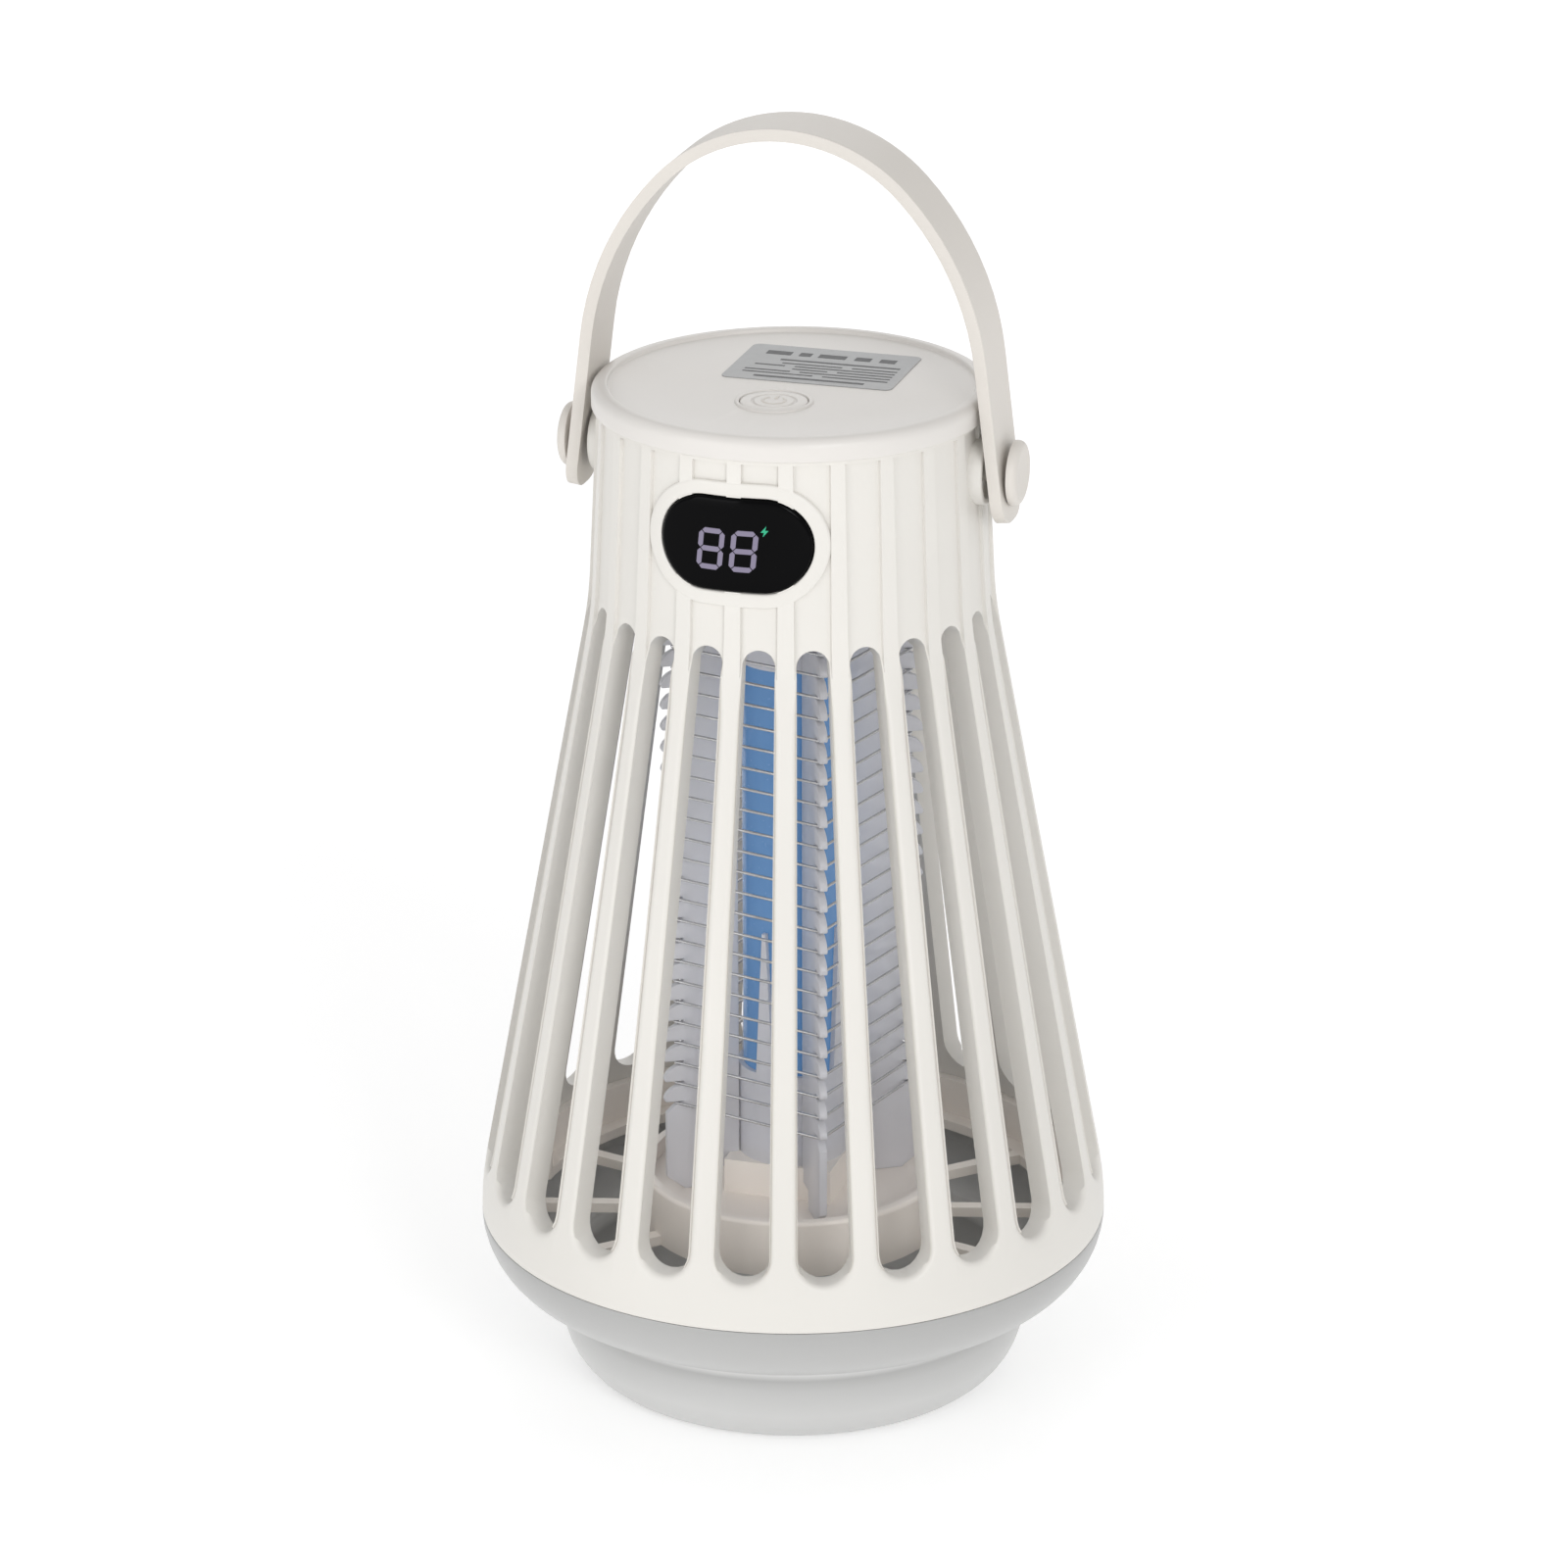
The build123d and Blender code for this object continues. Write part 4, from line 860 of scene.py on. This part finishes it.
# %% Bosses
PIVOT_Z = LID_Z - 10.0
BOSS_FACE = outside(PIVOT_Z) + 1.5
for side in (-1, 1):
    section = [(5.3, 36.0), (5.3, BOSS_FACE - 0.35), (5.6, BOSS_FACE - 0.08), (5.9, BOSS_FACE),
               (6.1, BOSS_FACE), (6.45, BOSS_FACE - 0.1), (6.7, BOSS_FACE - 0.4), (6.7, 36.0), (5.3, 36.0)]
    boss = lathe("handle_boss_" + ("left" if side < 0 else "right"),
                 [(r, side * along) for r, along in section], 64, "X", (0, 0, PIVOT_Z))
    smooth(boss, 50)
    finished(boss, white_shell, "housing", ())

# %% [markdown]
# ## Lid
# The lid is a turned dish: a soft outer shoulder, a narrow rim, and a shallow sunk deck with a hole for
# the button. It could be a cylinder with a bevel, but a turned half section gives the shoulder its
# large round and the deck its small inner fillet in one go.

# %% Lid
TOP_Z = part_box("top_lid")[1].z / MM
DECK_Z = TOP_Z - 0.8
LID_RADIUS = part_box("top_lid")[1].x / MM
BUTTON_Y, BUTTON_HOLE = -11.7, 6.65
lid_section = (
    [(0.0, DECK_Z), (12, DECK_Z), (24, DECK_Z), (LID_RADIUS - 3.5, DECK_Z)]
    + arc((LID_RADIUS - 3.5, DECK_Z + 0.35), 0.35, 270, 360, 4)
    + arc((LID_RADIUS - 2.7, TOP_Z - 0.45), 0.45, 180, 90, 4)
    + arc((LID_RADIUS - 1.9, TOP_Z - 1.9), 1.9, 90, 0, 8)
    + [(LID_RADIUS, LID_Z + 0.35), (LID_RADIUS - 0.1, LID_Z + 0.1), (LID_RADIUS - 0.35, LID_Z),
       (34.7, LID_Z), (34.7, LID_Z - 4), (33.1, LID_Z - 4), (33.1, DECK_Z - 2), (0.0, DECK_Z - 2)])
lid = lathe("round_lid", lid_section, 128)
hole_section = [(0, DECK_Z - 4), (BUTTON_HOLE, DECK_Z - 4), (BUTTON_HOLE, DECK_Z + 2), (0, DECK_Z + 2)]
button_hole = lathe("button_hole", hole_section, 64, centre=(0, BUTTON_Y, 0))
settle(lid, "BOOLEAN", object=button_hole, operation="DIFFERENCE", solver="EXACT")
bpy.data.objects.remove(button_hole)
smooth(lid, 35)
finished(lid, white_lid, "housing", ("top_lid",))

bezel_top = DECK_Z + 0.3
bezel_section = [(BUTTON_HOLE, DECK_Z - 0.6), (BUTTON_HOLE, bezel_top - 0.12), (6.75, bezel_top),
                 (7.3, bezel_top), (7.45, bezel_top - 0.1), (7.5, DECK_Z - 0.02), (7.5, DECK_Z - 0.6),
                 (BUTTON_HOLE, DECK_Z - 0.6)]
bezel = lathe("button_bezel", bezel_section, 96, centre=(0, BUTTON_Y, 0))
smooth(bezel, 50)
finished(bezel, white_lid, "housing", ())

# %% [markdown]
# ## Button
# The button is a turned cap with a shallow ring groove. The power sign stands in it as a thin raised
# ring with a gap and a bar, which is generic. It moves with the button's body.

# %% Button and its sign
face = DECK_Z + 0.2
STEM_Z = 197.7
cap_section = [(0, face), (3.3, face), (3.75, face), (3.9, face - 0.2), (4.1, face - 0.25), (4.3, face - 0.2),
               (4.45, face), (6.1, face), (6.4, face - 0.1), (6.55, face - 0.4), (6.55, DECK_Z - 2.0),
               (7.3, DECK_Z - 2.05), (7.3, DECK_Z - 2.8), (2.0, DECK_Z - 2.8), (2.0, STEM_Z), (0, STEM_Z)]
cap = lathe("button_cap", cap_section, 96, centre=(0, BUTTON_Y, 0))
smooth(cap, 40)
finished(cap, white_lid, "button", ("power_button",))

SIGN_STEPS, SIGN_GAP = 40, 40
sign = flat_grid("power_sign", SIGN_STEPS, 3)


def sign_place(column, row, layer):
    turn = math.radians(90 + SIGN_GAP + (360 - 2 * SIGN_GAP) * column / SIGN_STEPS)
    radius, height = ((1.85, -0.05), (2.0, 0.12), (2.35, 0.12), (2.5, -0.05))[row]
    return radius * math.cos(turn), BUTTON_Y + radius * math.sin(turn), face + height


carry(sign, sign_place)
clear_selection()
bpy.ops.mesh.primitive_cube_add(size=1, location=Vector((0, BUTTON_Y + 1.9, face + 0.02)) * MM,
                                scale=Vector((0.6, 2.0, 0.2)) * MM)
sign_bar = bpy.context.object
bpy.ops.object.transform_apply(location=True, rotation=True, scale=True)
settle(sign_bar, "BEVEL", width=0.06 * MM, segments=2)
clear_selection()
sign_bar.select_set(True)
sign.select_set(True)
bpy.context.view_layer.objects.active = sign
bpy.ops.object.join()
tidy_normals(sign, 0.000002)
smooth(sign, 60)
finished(sign, white_strap, "button", ())

# %% [markdown]
# ## Rating label
# The label is a thin grey film. Its print is shown as plain bars in rows, with no lettering. The film's
# corners are round, and the print lies a hair above it.

# %% Label and its print
label_low, label_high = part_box("rating_label")
label_w, label_d = (label_high.x - label_low.x) / MM, (label_high.y - label_low.y) / MM
label_mid = ((label_low.x + label_high.x) / 2 / MM, (label_low.y + label_high.y) / 2 / MM)
clear_selection()
bpy.ops.mesh.primitive_plane_add(size=1)
label = bpy.context.object
label.name = label.data.name = "grey_label"
edit("ALL")
bpy.ops.transform.resize(value=(label_w * MM, label_d * MM, 1))
bpy.ops.transform.translate(value=Vector((label_mid[0], label_mid[1], DECK_Z + 0.01)) * MM)
bpy.ops.mesh.bevel(offset=1.4 * MM, affect="VERTICES", segments=5)
bpy.ops.mesh.extrude_region_move(TRANSFORM_OT_translate={"value": (0, 0, 0.12 * MM)})
leave_edit()
tidy_normals(label, 0.000001)
finished(label, label_film, "housing", ("rating_label",))

PRINT_ROWS = (
    (9.0, 0.9, ((-11, 22),)), (6.6, 0.55, ((-15, 13), (0, 14))), (4.9, 0.55, ((-15, 18), (5, 9))),
    (3.2, 0.55, ((-15, 11), (-2, 7))), (1.5, 0.55, ((-15, 20), (7, 6))), (-0.2, 0.55, ((-15, 9), (-4, 12))),
    (-2.4, 0.75, ((-15, 24),)), (-6.6, 2.2, ((-13, 3.2), (-8, 3.2), (-3, 5.5), (4, 2.4), (8, 5))))
bars = []
for up, tall, runs in PRINT_ROWS:
    for left, wide in runs:
        clear_selection()
        centre = (label_mid[0] - left - wide / 2, label_mid[1] - up, DECK_Z + 0.15)
        bpy.ops.mesh.primitive_cube_add(size=1, location=Vector(centre) * MM)
        bar = bpy.context.object
        bar.scale = Vector((wide, tall, 0.03)) * MM
        bars.append(bar)
clear_selection()
for bar in bars:
    bar.select_set(True)
bpy.context.view_layer.objects.active = bars[0]
bpy.ops.object.join()
label_print = bpy.context.object
label_print.name = label_print.data.name = "label_print"
bpy.ops.object.transform_apply(location=True, rotation=True, scale=True)
ink = moulded("label_ink", (0.06, 0.063, 0.066), 0.5, 0.8, 900.0, 0.03, 0.0)
finished(label_print, ink, "housing", ())

# %% [markdown]
# ## Handle strap
# The strap is one flat band that runs up from the left pin, over the lid and down to the right pin. It
# is a grid with its rows placed along a leg, a shoulder arc and a crown arc, then thickened and bevelled.
# A curve with a bevel profile could do the same, but here the foot's round corners come from the rows.

# %% Strap
STRAP_HALF, STRAP_THICKNESS, FOOT, FOOT_CORNER = 7.0, 2.36, 9.5, 5.5
LEG_X, LEG_TOP = BOSS_FACE + 7.0 * math.tan(math.radians(7)) + 1.5, 22.0
LEAN, SHOULDER_END, SHOULDER_RADIUS = math.radians(7), math.radians(44), 56.0


def strap_stations():
    """(x, z, outward normal, half width) from the right foot up to the crown."""
    stations = []
    out = Vector((math.cos(LEAN), math.sin(LEAN)))
    length = (FOOT + LEG_TOP) / math.cos(LEAN)
    for run in (0, 0.25, 0.7, 1.3, 2.1, 3.2, 4.4, 5.5, 9.5, 14, 19, 25, length):
        up = run * math.cos(LEAN) - FOOT
        inset = max(0.0, FOOT_CORNER - run)
        half = STRAP_HALF - FOOT_CORNER + math.sqrt(FOOT_CORNER ** 2 - inset ** 2)
        stations.append((LEG_X - up * math.tan(LEAN), PIVOT_Z + up, out, half))
    top_x, top_z = stations[-1][:2]
    crown_x = top_x - SHOULDER_RADIUS * (math.cos(LEAN) - math.cos(SHOULDER_END))
    crown_z = top_z + SHOULDER_RADIUS * (math.sin(SHOULDER_END) - math.sin(LEAN))
    crown_radius = crown_x / math.cos(SHOULDER_END)
    for k in range(1, 11):
        turn = LEAN + (SHOULDER_END - LEAN) * k / 10
        stations.append((top_x - SHOULDER_RADIUS * (math.cos(LEAN) - math.cos(turn)),
                         top_z + SHOULDER_RADIUS * (math.sin(turn) - math.sin(LEAN)),
                         Vector((math.cos(turn), math.sin(turn))), STRAP_HALF))
    for k in range(1, 13):
        turn = SHOULDER_END + (math.pi / 2 - SHOULDER_END) * k / 12
        stations.append((crown_radius * math.cos(turn),
                         crown_z + crown_radius * (math.sin(turn) - math.sin(SHOULDER_END)),
                         Vector((math.cos(turn), math.sin(turn))), STRAP_HALF))
    return stations


right_side = strap_stations()
left_side = [(-x, z, Vector((-n.x, n.y)), half) for x, z, n, half in right_side[:-1]]
strap_rows = right_side + left_side[::-1]
ACROSS = (-1, -0.86, -0.45, 0, 0.45, 0.86, 1)
strap = flat_grid("carry_strap", len(ACROSS) - 1, len(strap_rows) - 1)
thicken_flat(strap)


def strap_place(column, row, layer):
    x, z, out, half = strap_rows[row]
    shift = STRAP_THICKNESS * (0.5 - layer)
    return x + out.x * shift, ACROSS[column] * half, z + out.y * shift


carry(strap, strap_place)
tidy_normals(strap, 0.000005)
soften(strap, 0.5, 3, 50)
finished(strap, white_strap, "handle", ("handle_strap",))

# %% [markdown]
# ## Handle pins
# Each pin has a round button head with a soft edge and a slightly dished face. Its shank passes through
# the strap into the head. The pins stay with the housing while the strap turns on them.

# %% Pins
for side, cad_pin in ((-1, "handle_pin_left"), (1, "handle_pin_right")):
    low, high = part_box(cad_pin)
    tip = max(abs(low.x), abs(high.x)) / MM
    shank = min(abs(low.x), abs(high.x)) / MM
    section = [(0, tip - 0.25), (2.5, tip - 0.22), (3.9, tip - 0.12), (4.5, tip - 0.02), (4.9, tip),
               (5.3, tip - 0.07), (5.75, tip - 0.28), (6.1, tip - 0.65), (6.27, tip - 1.1), (6.3, tip - 1.5),
               (6.25, tip - 1.9), (6.0, tip - 2.0), (2.0, tip - 2.0), (2.0, shank), (0, shank)]
    pin = lathe("pin_" + ("left" if side < 0 else "right"), [(r, side * along) for r, along in section],
                64, "X", (0, 0, PIVOT_Z))
    smooth(pin, 50)
    finished(pin, white_strap, "housing", (cad_pin,))

# %% [markdown]
# ## Frosted tray
# The tray is blown from frosted plastic: a flat foot with a large soft corner, a slightly leaning wall, a
# small step, and a quarter-round collar that swells out to the seam. It is turned from one closed half
# section, outside and inside, so that it has a real wall for the light to pass through.

# %% Tray
SEAT_Z = SEAM_Z - 0.05
COLLAR, COLLAR_WALL = 14.0, 1.8
COLLAR_INSIDE = COLLAR - COLLAR_WALL
COLLAR_CENTRE = BAND_RADIUS - COLLAR
tray_outer = (
    [(0, 0), (20, 0), (36, 0), (39.0, 0.02), (40.3, 0.3), (41.6, 1.0), (42.9, 2.1), (44.0, 3.4),
     (44.9, 4.8), (45.7, 6.5), (46.3, 8.4), (46.7, 10.4), (46.9, 12.6), (47.05, 14.6),
     (47.3, 15.9), (47.75, 16.7), (48.3, 17.1), (48.7, 17.5), (48.85, 18.0), (48.8, 18.5), (48.75, 18.85)]
    + [(COLLAR_CENTRE + COLLAR * math.sin(math.radians(a)), SEAM_Z - COLLAR * math.cos(math.radians(a)))
       for a in (2, 9, 18, 27, 36, 45, 54, 63, 72, 80, 86)]
    + [(BAND_RADIUS, SEAM_Z - 0.3), (BAND_RADIUS - 0.1, SEAT_Z)])
tray_inner = [(59.0, SEAT_Z), (59.0, SEAM_Z + 3.8), (58.8, SEAM_Z + 4), (57.7, SEAM_Z + 4),
              (57.5, SEAM_Z + 3.8), (57.5, 29.6)]
tray_inner += [(COLLAR_CENTRE + COLLAR_INSIDE * math.sin(math.radians(a)),
                SEAM_Z - COLLAR_INSIDE * math.cos(math.radians(a)))
               for a in (48, 40, 32, 24, 16, 8, 2)]
tray_inner += [(46.3, 20.2), (45.6, 19.4), (45.4, 17), (44.9, 10.6), (44.0, 7.0), (42.3, 4.6),
               (40, 2.9), (37.5, 2.2), (20, 2.2), (0, 2.2)]
tray = lathe("frosted_bowl", tray_outer + tray_inner, 128)
smooth(tray, 40)
finished(tray, frosted, "tray", ("bug_tray",))

# %% [markdown]
# ## Comb fins
# Four thin plates hold the wires. One plate is drawn as an outline: a point is extruded from corner to
# corner, up the toothed edge and down the inner edge. Each tooth is flat underneath with a round
# shoulder above. The outline is filled, given its thickness, copied round by a spin, and softened.

# %% Fins
ring_low, wire_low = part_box("grid_top_ring")[0].z / MM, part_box("grid_wires_live")[0].z / MM
TABLE_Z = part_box("comb_fins")[0].z / MM
FIN_INNER, FIN_ROOT, FIN_TIP, FIN_HALF = 11.2, 22.3, 26.35, 0.8
TOOTH_SHAPE = ((0.0, 0.0), (0.93, 0.0), (1.0, 0.13), (0.98, 0.3), (0.88, 0.52), (0.68, 0.76), (0.4, 0.93),
               (0.14, 1.0))
WIRE_PITCH, WIRE_HALF, NOTCH_HALF, FIN_TURN, FIN_COUNT = 4.37, 0.3, 0.45, -60, 4
lowest_notch = wire_low + WIRE_HALF - NOTCH_HALF


def tooth(low, high):
    """Corners of one tooth, from its flat underside up its tip and round its shoulder."""
    reach, rise = FIN_TIP - FIN_ROOT, high - low
    return [(FIN_ROOT + reach * across, low + rise * up) for across, up in TOOTH_SHAPE]


fin_edge = [(FIN_INNER + 5, TABLE_Z), (FIN_ROOT, TABLE_Z), (FIN_TIP - 0.4, TABLE_Z + 2.8),
            (FIN_TIP - 0.4, lowest_notch - 1.6), (FIN_TIP - 2, lowest_notch)]
notch = lowest_notch
while notch + 2 * NOTCH_HALF < ring_low - 1:
    fin_edge += tooth(notch + 2 * NOTCH_HALF, min(notch + WIRE_PITCH, ring_low - 0.05))
    notch += WIRE_PITCH
fin_edge += [(FIN_INNER, ring_low - 0.05), (FIN_INNER, TABLE_Z + 4), (FIN_INNER + 5, TABLE_Z + 4)]
fin_along = Vector((math.cos(math.radians(FIN_TURN)), math.sin(math.radians(FIN_TURN)), 0))
fin_across = Vector((-fin_along.y, fin_along.x, 0)) * FIN_HALF
spots = [(fin_along * r - fin_across + Vector((0, 0, z))) * MM for r, z in fin_edge]
clear_selection()
bpy.ops.mesh.primitive_plane_add(size=0.001)
fins = bpy.context.object
fins.name = fins.data.name = "thin_fins"
edit("ALL")
bpy.ops.mesh.merge(type="CENTER")
bpy.ops.transform.translate(value=spots[0])
for start, end in zip(spots, spots[1:]):
    bpy.ops.mesh.extrude_region_move(TRANSFORM_OT_translate={"value": end - start})
bpy.ops.mesh.select_all(action="SELECT")
bpy.ops.mesh.edge_face_add()
bpy.ops.mesh.extrude_region_move(TRANSFORM_OT_translate={"value": fin_across * 2 * MM})
bpy.ops.mesh.select_all(action="SELECT")
bpy.ops.mesh.spin(steps=FIN_COUNT - 1, angle=2 * math.pi * (1 - 1 / FIN_COUNT), center=(0, 0, 0),
                  axis=(0, 0, 1), dupli=True)
leave_edit()
tidy_normals(fins, 0.000005)
soften(fins, 0.2, 2, 40)
finished(fins, grey_fin, "housing", ("comb_fins",))
